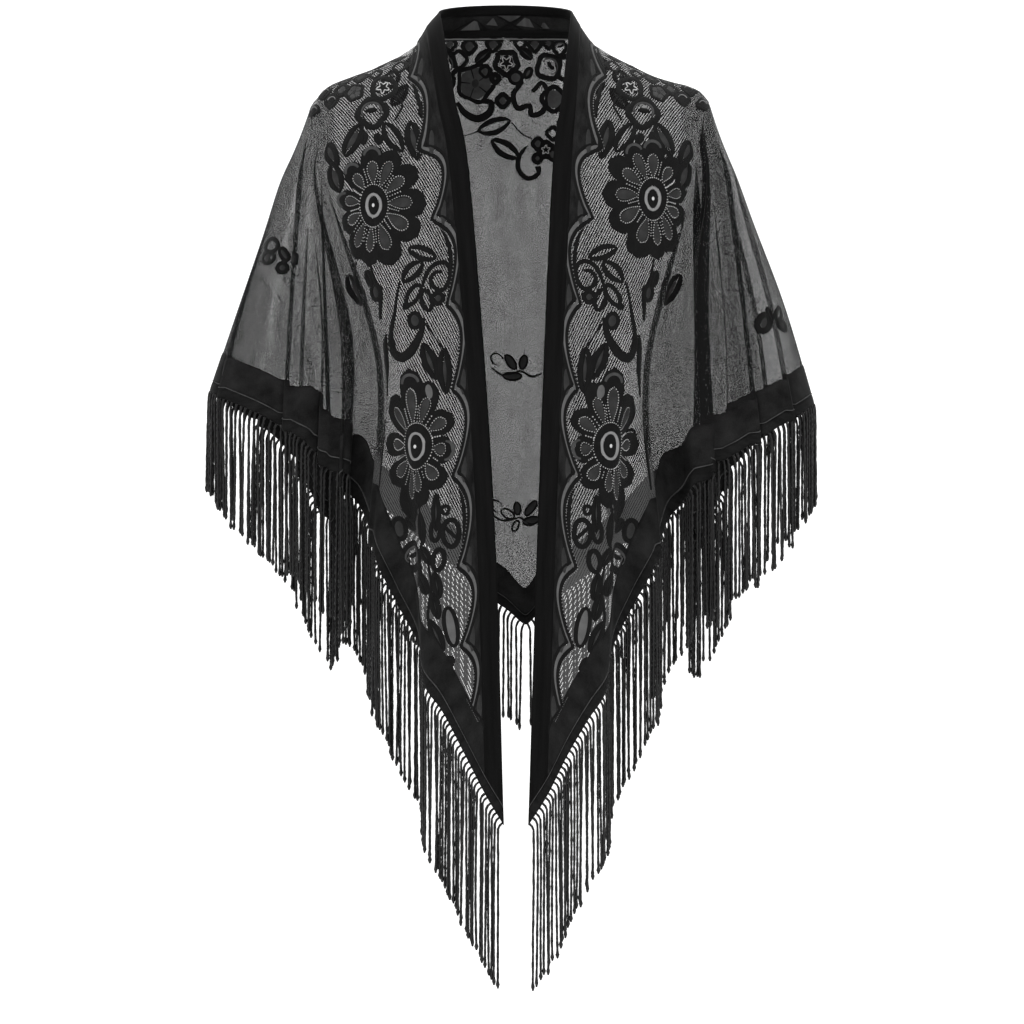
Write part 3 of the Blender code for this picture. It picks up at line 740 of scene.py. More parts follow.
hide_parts("lace_front_right")
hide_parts("lace_back")
print("net made")


halfThick = {"band": 0.95, "hem": 0.8, "tape": 0.85, "stitch": 1.2}
rimShare = {"ends": 0.55, "sides": 0.6}  # How much of the thickness is left at the rims


def stripOf(cloth, ribs, count, top, end, rows):
    # The cloth between two widths above the hem, or from the shoulder line where the top is None
    columns = cloth.columnAt(np.linspace(*ribs, count))
    starts = columns * 0 if top is None else cloth.aboveHem(columns, top)
    return clothGrid(cloth, columns, starts, cloth.aboveHem(columns, end), rows)


def thinned(points, ends, sides):
    share = np.ones(points.shape[:2])
    share[[0, -1]] = ends
    share[:, [0, -1]] = sides
    return share


def bandPiece(name, cloth, ribs, top, look, rows, count, node):
    points, normals, flats = stripOf(cloth, ribs, count, top, tapeWidth - underHem["band"], rows)
    pile = Pile()
    pile.wall(points, normals, halfThick[look] * thinned(points, **rimShare), flats)
    piece = pile.make(name, [looks[look]])
    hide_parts(node)
    return piece


for side, cloth in fronts.items():
    bandPiece(
        "frontBand." + side, cloth, (0, 1.0), None, "band", 220, 9, "front_band_" + side)
    bandPiece(
        "hemFront." + side, cloth, (0.95, 17), wholeHem, "hem", 9, 300, "hem_band_front_" + side)
backHalves = {"left": (0, 14.04), "right": (13.96, 28)}
for side, ribs in backHalves.items():
    bandPiece(
        "hemBack." + side, back, ribs, wholeHem, "hem", 9, 240, "hem_band_back_" + side)


def seamPiece(name, cloth, ribs):
    # A light stitched line where a tape joins its hem band, on both faces
    half = 0.45
    points, normals, flats = stripOf(cloth, ribs, 420, tapeWidth + half, tapeWidth - half, 2)
    pile = Pile()
    pile.wall(points, normals, halfThick["stitch"], pair(alongPath(points[:, 0])[:, None], flats[..., 1]))
    return pile.make(name, [looks["line"]])


for side, cloth in fronts.items():
    seamPiece("hemStitch." + side, cloth, (0.02, 17))
for side, ribs in (("left", (0, 14)), ("right", (14, 28))):
    seamPiece("hemStitchBack." + side, back, ribs)
print("bands made")


# The neck band: a dark fold on top, a sheer strip, and a dark seam at its base
def neckStrip(pile, start, end, half, kind):
    # Round the neck, between two shares of the height from the top down
    rows, count = 5, 72
    turns = np.linspace(0, np.pi, count)
    top = np.array([neckPoint(neckTop, turn) for turn in turns])
    base = np.array([neckPoint(neckBase, turn) for turn in turns])
    share = np.linspace(start, end, rows)[None, :, None]
    points = top[:, None] * (1 - share) + base[:, None] * share
    across = np.gradient(points, axis=0)
    across[[0, -1]] *= (0, 1, 0)
    normals = unit(np.cross(across, np.gradient(points, axis=1)))
    along = np.repeat(alongPath(top)[:, None], rows, axis=1)
    pile.wall(points, normals, half, pair(share[..., 0] * 30, along), kind)


def neckPatch(pile, corners, kind):
    # A small flat piece on the inner face of the band, from (turn, share) corners
    places = []
    for turn, share in corners:
        top, base = (np.array(neckPoint(line, np.radians(turn), -1.0)) for line in (neckTop, neckBase))
        places.append(top * (1 - share) + base * share)
    pile.add(places, np.array([[0, 1, 2, 3]]), np.array(corners) * 0.3, kind)


bandCloth, sheer, patch = 0, 1, 2
neckStrips = ((0.0, 0.31, 1.1, bandCloth), (0.29, 0.80, 0.35, sheer), (0.78, 1.0, 1.0, bandCloth))
neckPatches = (
    (patch, ((56, 0.76), (72, 0.76), (68, 0.50), (65, 0.46))),
    (patch, ((76, 0.60), (85, 0.64), (81, 0.40), (80, 0.40))),
    (patch, ((84, 0.32), (103, 0.32), (97, 0.50), (90, 0.50))),
    (patch, ((99, 0.62), (113, 0.68), (110, 0.42), (106, 0.38))),
    (patch, ((118, 0.70), (126, 0.70), (123, 0.52), (121, 0.52))),
    (bandCloth, ((83, 0.34), (85, 0.32), (104, 0.74), (102, 0.76))),
    (bandCloth, ((104, 0.32), (106, 0.34), (87, 0.76), (85, 0.74))),
    (bandCloth, ((50, 0.74), (50, 0.78), (66, 0.44), (65, 0.41))),
    (bandCloth, ((66, 0.40), (67, 0.43), (78, 0.74), (76, 0.77))),
    (bandCloth, ((108, 0.36), (109, 0.39), (122, 0.72), (120, 0.74))),
)
neckPile = Pile()
for strip in neckStrips:
    neckStrip(neckPile, *strip)
for kind, corners in neckPatches:
    neckPatch(neckPile, corners, kind)
neckBand = neckPile.make("neckBand", [looks["band"], looks["hem"], looks["veil"]])
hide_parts("neck_band_back")
print("neck band made")

# The fringe: two-lobed twisted strands leave the tape square to it and fall straight
fringe = {
    "spacing": 5.8, "uneven": 0.8, "wide": 1.46, "thin": 1.22, "segments": 44, "sides": 6,
    "lean": 5.0, "bend": 9.0, "twist": (14, 26),
    "lengthsDiffer": 2.2, "pairsDiffer": 0.8, "kinks": 0.13, "sway": (0.1, 0.6), "slow": (0.018, 0.034),
    "tilt": 0.006, "freeBelow": 30, "tipsMeet": (0.55, 1.0), "meetsLate": 1.7,
    "tuft": 4.0, "knot": 1.6, "knotMore": 0.40,
}
# How long the strands are, by their place along the hem from its outer end
frontLengths = ((0, 92), (100, 137), (620, 162))
backLengths = ((0, 92), (100, 128), (240, 136), (340, 112), (500, 103))


def fringePiece(name, cloth, ribs, lengths, fromFirst, node):
    # The tape, and strands rooted along its lower edge; "fromFirst" counts lengths from the first rib
    points, normals, flats = stripOf(cloth, ribs, 500, tapeWidth, 0, 4)
    pile = Pile()
    share = thinned(points, 1.0, rimShare["sides"])
    coarse = slice(None, None, 2)
    pile.wall(points[coarse], normals[coarse], halfThick["tape"] * share[coarse], flats[coarse])
    hem = points[:, -1]
    along = alongPath(hem)
    count = int(along[-1] / fringe["spacing"])
    jitter = sameEachRun.uniform(-fringe["uneven"], fringe["uneven"], count)
    wanted = (np.arange(count) + 0.5) * along[-1] / count + jitter
    root = pick(wanted, along, hem)
    partner = np.minimum(np.arange(count) ^ 1, count - 1)
    normal = unit(pick(wanted, along, normals[:, -1]))
    tangent = unit(pick(wanted, along, np.gradient(hem, along, axis=0)))
    leave = unit(np.cross(tangent, normal))
    leave *= np.sign((leave * (root - pick(wanted, along, points[:, -2]))).sum(axis=1, keepdims=True))
    fromEnd = wanted if fromFirst else along[-1] - wanted
    length = np.interp(fromEnd, *zip(*lengths)) + sameEachRun.normal(0, fringe["lengthsDiffer"], count)
    length = (length + length[partner]) / 2 + sameEachRun.normal(0, fringe["pairsDiffer"], count)
    makeStrands(pile, root, leave, normal, length, (root[partner] - root) / 2)
    piece = pile.make(name, [looks["tape"], looks["strand"]])
    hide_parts(node)
    return piece


def smoothedAlong(values):
    padded = np.concatenate([values[:, :1], values, values[:, -1:]], axis=1)
    return (padded[:, :-2] + 2 * padded[:, 1:-1] + padded[:, 2:]) / 4


def makeStrands(pile, root, leave, normal, length, towards):
    # Each strand bends over the tape's edge, then falls with a little sway
    count, segments, sides = len(root), fringe["segments"], fringe["sides"]
    bend = fringe["bend"]
    share = np.linspace(0, 1, segments)[None, :, None]
    depth = share * (length[:, None, None] + bend / 2)
    out = np.sin(np.clip(depth / bend, 0, 1) * np.pi / 2) * fringe["lean"]
    fall = np.where(depth < bend, depth ** 2 / (2 * bend), depth - bend / 2)
    phase = sameEachRun.uniform(0, 2 * np.pi, (count, 1, 2))
    speed = sameEachRun.uniform(*fringe["slow"], (count, 1, 2))
    sway = np.sin(depth * speed + phase) - np.sin(phase)
    tilt = sameEachRun.normal(0, fringe["tilt"], (count, 1, 2))
    kinks = smoothedAlong(sameEachRun.normal(0, fringe["kinks"], (count, segments, 2)))
    sway = sway * sameEachRun.uniform(*fringe["sway"], (count, 1, 2))
    offset = (sway + tilt * depth + kinks) * np.minimum(depth / fringe["freeBelow"], 1)
    centre = root[:, None] + leave[:, None] * out - np.array((0, 0, 1.0)) * fall
    centre[..., :2] += offset
    # Two neighbours are knotted together at their tips
    towards = towards * (1 - 1.3 / np.maximum(np.linalg.norm(towards, axis=1, keepdims=True), 1.31))
    meets = sameEachRun.uniform(*fringe["tipsMeet"], (count // 2 + 1, 1)).repeat(2, axis=0)[:count, None]
    drawn = np.clip(depth / (length[:, None, None] + bend / 2), 0, 1) ** fringe["meetsLate"] * meets
    centre[..., :2] += towards[:, None, :2] * drawn
    tangent = unit(np.gradient(centre, axis=1))
    sideways = unit(np.cross(tangent, np.broadcast_to(normal[:, None], tangent.shape)))
    forward = np.cross(tangent, sideways)
    tip = (length[:, None] + bend / 2) * (1 - share[..., 0])
    knot = np.exp(-((tip - fringe["tuft"]) / fringe["knot"]) ** 2)
    size = 1 + fringe["knotMore"] * knot - 0.35 * (tip < 0.8)
    wide, thin = fringe["wide"] * size, fringe["thin"] * (size + 0.5 * knot)
    twist = depth[..., 0] * np.pi / sameEachRun.uniform(*fringe["twist"], (count, 1)) + phase[..., 0]
    turns = np.linspace(0, 2 * np.pi, sides, endpoint=False)
    vertices = np.zeros((count, segments, sides, 3))
    for number, turn in enumerate(turns):
        x, y = np.cos(turn) * wide, np.sin(turn) * thin
        a = x * np.cos(twist) - y * np.sin(twist)
        b = x * np.sin(twist) + y * np.cos(twist)
        vertices[:, :, number] = centre + sideways * a[..., None] + forward * b[..., None]
    index = np.arange(count * segments * sides).reshape(count, segments, sides)
    beside = np.roll(index, -1, axis=2)
    quads = np.stack([index[:, :-1], beside[:, :-1], beside[:, 1:], index[:, 1:]], axis=-1).reshape(-1, 4)
    caps = [index[:, [0, -1]][..., corners].reshape(-1, 4) for corners in ([0, 1, 2, 3], [3, 4, 5, 0])]
    flats = pair(depth + phase[..., :1] * 40, turns * 1.5)
    pile.add(vertices, np.concatenate([quads, *caps]), flats, 1)


for side, cloth in fronts.items():
    fringePiece(
        "fringeFront." + side, cloth, (0, 17), frontLengths, False, "fringe_front_" + side)
for side, ribs in backHalves.items():
    fringePiece(
        "fringeBack." + side, back, ribs, backLengths, side == "left", "fringe_back_" + side)
print("fringe made")

# Worked shapes, on both faces of the net. Paths are flat places in millimetres.
dense, half, light, border, pale, ringed, grey = range(7)
heights = (0.5, 0.8, 1.35, 0.4, 0.45, 1.1, 0.75)  # How far each kind of thread stands out
workLooks = [looks[key] for key in ("dense", "half", "light", "border", "pale", "ring", "grey")]
fills = {"half": half, "grey": grey}
leastSeen = 0.62  # Shapes are widened where the cloth turns away, as if at least this share of it showed


def turned(path, degrees):
    angle = np.radians(degrees)
    x, y = path[..., 0], path[..., 1]
    return np.stack([x * np.cos(angle) - y * np.sin(angle), x * np.sin(angle) + y * np.cos(angle)], axis=-1)


class Work:
    # "side" is the way across runs: -1 towards -X, 1 towards +X
    def __init__(self, cloth, side):
        self.cloth = cloth
        self.side = side
        self.pile = Pile()

    def slopes(self, flats):
        # How a point moves for a millimetre across and for one down
        moves = []
        for step in ((1.5, 0.0), (0.0, 1.5)):
            ahead, _ = self.cloth.lay(flats + step)
            behind, _ = self.cloth.lay(np.maximum(flats - step, (-np.inf, topEdge)))
            moves.append((ahead - behind) / 3)
        return np.stack(moves, axis=-1)

    def flatStep(self, path, direction):
        # The flat step that moves a point a millimetre in a direction of space
        return np.einsum("nij,nj->ni", np.linalg.pinv(self.slopes(path), rcond=0.15), direction)

    def place(self, shape, centre, turn=0.0):
        # Shapes are drawn upright, as seen from the front, and laid on the cloth round their centre
        centre = np.asarray(centre, float)
        moves = self.slopes(centre[None])[0]
        seen = np.array([moves[0] * self.side, -moves[2]])
        u, size, v = np.linalg.svd(seen)
        back = v.T @ np.diag(1 / np.clip(size, leastSeen, 1.3)) @ u.T
        return centre + turned(np.asarray(shape, float), turn) @ back.T

    def stroke(self, path, widths, kind=dense, closed=False, crosses=5, lift=0.0):
        # A ribbon with rounded faces along a path; widths are half widths
        path = np.asarray(path, float)
        points, normals = self.cloth.lay(path)
        if closed:
            along = np.roll(points, -1, axis=0) - np.roll(points, 1, axis=0)
        else:
            along = np.gradient(points, axis=0)
        square = unit(np.cross(normals, unit(along)))
        step = self.flatStep(path, square)
        shown = np.clip(np.linalg.norm(square[:, ::2], axis=1), leastSeen, 1)
        widths = np.broadcast_to(widths, len(path)) / shown
        places = np.linspace(-1, 1, crosses)
        flats = path[:, None] + step[:, None] * (widths[:, None] * places)[..., None]
        rise = np.sqrt(np.maximum(1 - places ** 2, 0)) ** 0.7 * (heights[kind] + lift)
        points, normals = self.cloth.lay(flats)
        length = alongPath(path)
        coordinates = pair(length[:, None], places[None] * widths[:, None])
        faces = gridFaces(len(path), crosses, wrap=closed)
        for sign in (1, -1):
            offset = normals * (sign * rise)[None, :, None]
            self.pile.add(points + offset, faces[:, ::sign], coordinates, kind)

    def curve(self, corners, widths, count):
        # A smooth ribbon through corners; widths are read along it
        corners = np.asarray(corners, float)
        at = np.linspace(0, len(corners) - 1, count)
        path = spline(corners, 2 * corners[0] - corners[1], 2 * corners[-1] - corners[-2], at)
        widths = np.interp(np.linspace(0, 1, count), np.linspace(0, 1, len(widths)), widths)
        self.stroke(path, widths)

    def dots(self, path, spacing, size, kind=light):
        # A row of small pointed stitches
        path = np.asarray(path, float)
        along = alongPath(path)
        count = max(int(along[-1] / spacing), 1)
        flats = pick((np.arange(count) + 0.5) * along[-1] / count, along, path)
        points, normals = self.cloth.lay(flats)
        ahead, _ = self.cloth.lay(flats + (0.5, 0.0))
        a = unit(ahead - points)
        b = np.cross(normals, a)
        corners = np.stack([points + a * size, points + b * size, points - a * size, points - b * size,
                            points + normals * heights[kind], points - normals * heights[kind]], axis=1)
        first = np.arange(count)[:, None] * 6
        faces = ((4, 0, 1, 2), (4, 2, 3, 0), (5, 2, 1, 0), (5, 0, 3, 2))
        quads = np.concatenate([first + np.array(face) for face in faces])
        self.pile.add(corners, quads, np.repeat(flats, 6, axis=0), kind)

    def ring(self, centre, radii, width, kind, turn, count=22, offset=(0, 0), frame=0.0, arc=(0, 360)):
        # An oval line, whole or an arc of it; "frame" turns it with its offset
        whole = arc == (0, 360)
        angles = np.radians(np.linspace(arc[0], arc[1], count, endpoint=not whole))
        shape = pair(np.sin(angles) * radii[0], -np.cos(angles) * radii[1])
        if not whole:
            width = width * (0.45 + 0.55 * np.sin(np.linspace(0.12, np.pi - 0.12, count)) ** 0.6)
        self.stroke(self.place(turned(shape, turn) + offset, centre, frame), width, kind, whole)

    def disc(self, centre, radii, kind, turn=0.0, count=13, lift=0.0, offset=(0, 0), frame=0.0):
        # An oval as one ribbon along its longer axis
        radii = np.broadcast_to(radii, 2)
        places = -np.cos(np.linspace(0, np.pi, count))
        shape = pair(0.0, places * radii[1])
        self.stroke(self.place(turned(shape, turn) + offset, centre, frame),
                    radii[0] * np.sqrt(np.maximum(1 - places ** 2, 0)), kind, crosses=7, lift=lift)

    def leaf(self, centre, length, width, turn, line, fill):
        # A pointed oval: two bowed edges, with or without a close middle
        share = np.linspace(0, 1, 15)
        line = line * 1.2
        bow = np.sin(np.pi * share) ** 0.8 * (width / 2 - line * 0.7)
        for sign in (-1, 1):
            shape = pair(sign * bow, (share - 0.5) * length)
            widths = line * (0.25 + 0.75 * np.sin(np.pi * share) ** 0.5)
            self.stroke(self.place(turned(shape, turn), centre), widths)
        if fill is not None:
            middle = self.place(turned(pair(0.0, (share - 0.5) * length * 0.9), turn), centre)
            self.stroke(middle, np.maximum(bow - line * 0.85, 0.05), fill, lift=-0.15)

    def petal(self, start, tip, width, kind, fullest, lift, waist=0.15, outline=False):
        # A filled petal from its narrow waist to its tip, fullest near the tip
        share = np.linspace(0, 1, 12)
        swelling = waist + (1 - waist) * np.sin(share / fullest * np.pi / 2) ** 1.1
        closing = np.sqrt(np.maximum(1 - ((share - fullest) / (1 - fullest)) ** 2, 0))
        body = np.where(share < fullest, swelling, closing)
        path = start + (tip - start) * share[:, None]
        self.stroke(path, width * body, kind, crosses=7, lift=lift)
        if outline:
            points, normals = self.cloth.lay(path)
            square = unit(np.cross(normals, unit(np.gradient(points, axis=0))))
            step = self.flatStep(path, square) * (width * body + 0.3)[:, None]
            self.dots(np.concatenate([path - step, (path + step)[::-1]]), stitchGap, 1.0)


# The scalloped edge of the border: each cusp (down, across) and how far the arc after it bows to the band.
# Each lens: number of its arc, from and to where along it, and how far it bows away.
scallop = {
    "cusps": (
        (-6, 47, 12), (75, 49, 16), (162, 51, 22), (236, 48, 22), (327, 39, 17), (411, 40, 19),
        (493, 47, 18), (583, 46, 19), (662, 45, 15), (735, 38, 12), (800, 32, 0),
    ),
    "line": 2.0, "gap": 3.4, "teeth": 3.1, "bandEdge": 17.0,
    "lens": (
        (1, 0.10, 0.72, 7.5), (3, 0.06, 0.94, 7.0), (6, 0.12, 0.86, 6.0), (0, 0.2, 0.95, 7.0),
    ),
}


def scallopLine(count):
    down, across = [], []
    for here, there in zip(scallop["cusps"][:-1], scallop["cusps"][1:]):
        share = np.linspace(0, 1, count, endpoint=False)
        down.append(here[0] + (there[0] - here[0]) * share)
        across.append(here[1] + (there[1] - here[1]) * share - here[2] * np.sin(np.pi * share) ** 0.9)
    return np.concatenate(across), np.concatenate(down)


def borderWork(work):
    # The scalloped ribbon with its teeth, the cloth between it and the front band, and the lenses
    count = 16
    across, down = scallopLine(count)
    slope = np.minimum(np.sqrt(1 + np.gradient(across, down) ** 2), 1.5)
    for number, start, end, bow in scallop["lens"]:
        # A second line bows away from the ribbon and leaves a narrow opening
        at = number * count + np.linspace(start, end, 14) * count
        lensDown = np.interp(at, np.arange(len(down)), down)
        lensAcross = np.interp(at, np.arange(len(down)), across)
        bowed = scallop["gap"] + bow * np.sin(np.linspace(0, np.pi, 14)) ** 0.8
        keep = lensDown > 4
        path = pair(lensAcross + bowed, lensDown)[keep]
        work.stroke(path, 1.5 + 0.6 * np.sin(np.linspace(0, np.pi, len(path))))
    keep = down >= 0
    across, down, slope = across[keep], down[keep], slope[keep]
    for sign in (-1, 1):
        work.stroke(pair(across + sign * scallop["gap"] * slope, down), scallop["line"], lift=0.25)
    work.stroke(pair(across, down), 1.9, pale)
    edge = pair(across + (scallop["gap"] + scallop["line"] + 0.5) * slope, down)
    work.dots(edge[down > 70], scallop["teeth"], 0.95, ringed)
    share = np.linspace(0, 1, 7)[None]
    outer = across - scallop["gap"] * slope
    flats = pair(scallop["bandEdge"] * (1 - share) + outer[:, None] * share, down[:, None])
    points, normals = work.cloth.lay(flats)
    work.pile.wall(points, normals, heights[border], flats, border)
    for cusp in scallop["cusps"][1:-1]:
        work.disc((cusp[1] - scallop["gap"] - 8.5, cusp[0] + 3), (3.6, 13), half, 0, 11, -0.2)


# Places along a lobe are shares of the way from its eye's middle or rim to its tip
flowerShape = {
    "lobeStart": 0.6, "lobeFullest": 0.68, "lobeWaist": 0.42, "lobeLift": 0.14,
    "petalStart": 1.04, "petalEnd": (0.56, 0.70), "petalWide": 0.44, "petalFullest": 0.66, "petalLift": 0.3,
    "stitchRow": (0.30, 0.5),
    "rimAt": 0.80, "rimWide": 0.66, "rimLong": 0.70, "rimLine": 2.3, "rimArc": (-84, 84),
}
stitchGap = 2.5


def flowerWork(work, flower, side):
    # A large open flower: dark lobes, half-close petals edged with light stitches, and a ringed eye
    chance = np.random.default_rng(flower["seed"])
    shape = flowerShape
    centre = np.asarray(flower[side], float)
    first, last = flower["tops"][side]
    eye, ring = flower["eye"], flower["ring"]
    seen = np.linalg.inv(work.place(((1, 0), (0, 1)), centre) - centre)
    tips = [(np.array(tip[:2], float), tip[2]) for tip in (first, *flower["lobes"], last)]
    edges = []
    for tip, _ in tips:
        away = tip @ seen
        edges.append(1 / np.hypot(away[0] / eye[0], away[1] / eye[1]))
    for number, (tip, width) in enumerate(tips):
        start = centre + tip * edges[number] * shape["lobeStart"]
        lift = shape["lobeLift"] * (number % 2)
        work.petal(start, centre + tip, width, dense, shape["lobeFullest"], lift, shape["lobeWaist"])
    for number, (tip, width) in enumerate(tips):
        edge = edges[number]
        end = edge + (1 - edge) * chance.uniform(*shape["petalEnd"])
        start = centre + tip * edge * shape["petalStart"]
        work.petal(start, centre + tip * end, width * shape["petalWide"], half, shape["petalFullest"],
                   shape["petalLift"], outline=True)
        after = tips[(number + 1) % len(tips)][0]
        between = unit(unit(tip) + unit(after)) * (np.linalg.norm(tip) + np.linalg.norm(after)) / 2
        reach = edge + (1 - edge) * chance.uniform(*shape["stitchRow"])
        work.dots(centre + between * np.linspace(edge * 1.06, reach, 6)[:, None], stitchGap, 0.95)
    for number in flower["rims"][side]:
        tip, width = tips[number]
        lean = np.degrees(np.arctan2((tip @ seen)[0], -(tip @ seen)[1]))
        radii = (width * shape["rimWide"], width * shape["rimLong"])
        work.ring(centre + tip * shape["rimAt"], radii, shape["rimLine"], grey, lean, 16, arc=shape["rimArc"])
    work.ring(centre, np.add(eye, ring) / 2, (eye[0] - ring[0]) / 2 + 0.6, dense, 0, 30)
    angles = np.linspace(0, 2 * np.pi, 60)
    work.dots(work.place(pair(np.cos(angles) * eye[0], np.sin(angles) * eye[1]), centre), 2.7, 1.05)
    work.ring(centre, (ring[0] - 1.5, ring[1] - 1.6), 1.55, ringed, 0, 30)
    work.disc(centre, np.subtract(ring, 3.2), dense, lift=0.3)
    work.disc(centre, (1.7, 1.9), light, count=7)


def lobed(radius, lobes, depth, count):
    # A round closed path that swells into lobes
    angles = np.linspace(0, 2 * np.pi, count, endpoint=False)
    size = radius * (1 + depth * np.cos(lobes * angles))
    return pair(np.sin(angles) * size, -np.cos(angles) * size)


def roseWork(work, centre, radius, line, inside, lobes=4, turn=0):
    # A small blossom: a thick lobed line round an opening, a half-close middle or a star of light threads
    work.stroke(work.place(lobed(radius - line, lobes, 0.09, 40), centre, turn), line, dense, True)
    if inside == "eye":
        work.ring(centre, (radius * 0.58, radius * 0.50), line * 0.42, grey, 0, 16, (0, -radius * 0.12), turn,
                  (-120, 120))
        work.disc(centre, (radius * 0.17, radius * 0.34), dense, 84, 9, 0.6, (0, -radius * 0.14), turn)
        work.disc(centre, (radius * 0.12, radius * 0.16), ringed, 70, 7, 0.0, (0, -radius * 0.36), turn)
    elif inside in fills:
        work.disc(centre, radius - line * 1.85, fills[inside], turn, 11, -0.1)
    elif inside == "star":
        work.disc(centre, radius * 0.50, dense, turn, 11)
        work.stroke(work.place(lobed(radius * 0.34, 5, 0.34, 36), centre, turn), 0.5, light, True, 3)
    elif inside == "dark":
        work.disc(centre, radius - line * 1.3, dense, turn, 11)
        work.ring(centre, (radius * 0.55, radius * 0.5), 0.5, ringed, 0, 12, (0, 0), turn, (-80, 70))
    elif inside == "lines":
        work.disc(centre, radius - line * 1.7, grey, turn, 11, -0.45)
        for number in range(lobes):
            angle = turn + 360 / lobes * (number + 0.5)
            shape = turned(np.array(((0, -radius * 0.25), (0, -radius * 0.8)), float), angle)
            work.stroke(work.place(shape, centre), line * 0.42, dense, crosses=3)
        work.disc(centre, radius * 0.22, half, 0, 7)


def ovalWork(work, centre, radii, turn, line, inside):
    work.ring(centre, np.subtract(radii, line), line, dense, turn)
    if inside in fills:
        work.disc(centre, np.subtract(radii, line * 1.8), fills[inside], turn, 11, -0.1)
    elif inside == "pale":
        work.disc(centre, np.subtract(radii, line * 1.4), pale, turn, 11, 0.4)
    elif inside == "bar":
        work.disc(centre, (line * 0.8, radii[1] * 0.8), dense, turn + 48, 9)


# Ovals of a sprig: place from its knot, radii, turn and what fills them
sprigs = {
    "wing": (
        ((8, -9), (7.6, 11), 34, "open"), ((-9, -6), (6.0, 8.8), -40, "half"),
        ((-16, 3), (4.6, 7.6), -84, "half"), ((-8, 9), (7.2, 7.2), 0, "half"),
        ((10, 4), (5.6, 7.8), 78, "half"),
    ),
    "upper": (
        ((-10.5, -8.5), (5.2, 9.2), -36, "half"), ((2.5, -9), (5.0, 8.2), 12, "half"),
        ((-9, 6), (5.0, 10.6), 84, "half"),
    ),
    "lower": (
        ((-3.5, -9), (4.6, 7.2), -8, "half"), ((10.5, -9.5), (5.0, 9.4), 38, "half"),
        ((11.5, 3.5), (5.2, 9.2), 82, "half"), ((-13, -2), (5.6, 8.4), -70, "open"),
        ((-4, 9), (4.0, 7.0), 20, "open"),
    ),
}


def sprigWork(work, centre, name, turn, stems):
    for offset, radii, degrees, inside in sprigs[name]:
        offset = turned(np.array(offset, float), turn)
        line = 1.7 if name == "wing" else 1.1
        work.ring(centre, np.subtract(radii, line), line, dense, degrees + turn, 18, offset)
        if inside == "half":
            work.disc(centre, np.subtract(radii, line * 1.5), half, degrees + turn, 9, -0.3, offset)
    if stems:
        shape = np.array(((-31, 1), (-20, 6), (-8, 3), (0, 0), (10, 6), (16, 6.5), (22, 5)), float)
        work.curve(work.place(shape, centre, turn), (0.9, 1.1, 1.0, 0.9, 1.3, 1.0, 0.7), 24)
        work.ring(centre, (6.5, 6.0), 1.0, dense, turn, 16, (-25, -9), 0.0, (-200, 80))


def drawAll(work, table):
    # Roses: place, radius, line, inside, lobes, turn. Ovals: place, radii, turn, line, inside.
    # Leaves: place, length, width, turn, line, fill. Curves: half widths, corners. Sprigs: as sprigWork.
    for rose in table["roses"]:
        roseWork(work, *rose)
    for oval in table["ovals"]:
        ovalWork(work, *oval)
    for leaf in table["leaves"]:
        work.leaf(*leaf)
    for widths, corners in table["curves"]:
        work.curve(corners, widths, 4 * len(corners))
    for sprig in table.get("sprigs", ()):
        sprigWork(work, *sprig)


# The worked table of a front, mirrored on the other one: across from the front edge, down from the shoulder.
# Turns lean the top towards the arm; lobes are the tips and half widths round a flower.
flowerTable = (
    {"left": (110.8, 197.5), "right": (115.5, 187.5), "eye": (14, 21.5), "ring": (8.4, 12.6), "seed": 3,
     "rims": {"left": (0, 9, 10), "right": (0, 1)},
     "tops": {"left": ((-11, -59, 12), (20, -57, 10.5)), "right": ((-10, -60, 12), (21, -56, 10.5))},
     "lobes": ((-34, -42, 11.5), (-52, -16, 12), (-56, 22, 14.5), (-44, 51, 14.5), (-14, 67, 13.5),
               (17, 50, 9.5), (40, 28, 10.5), (48, -6, 10.5), (42, -33, 10.5))},
    {"left": (90.8, 444.5), "right": (84, 447), "eye": (15.6, 23.2), "ring": (9.8, 14.8), "seed": 6,
     "rims": {"left": (0, 3), "right": (0, 3)},
     "tops": {"left": ((0, -77, 12.5), (40, -72, 11)), "right": ((0, -77, 12.5), (40, -72, 11))},
     "lobes": ((-27, -50, 10.5), (-44, -12, 12.5), (-41, 24, 14), (-28, 55, 13), (0, 62, 9),
               (27, 64, 13), (51, 12, 12), (58, -34, 12))},
)
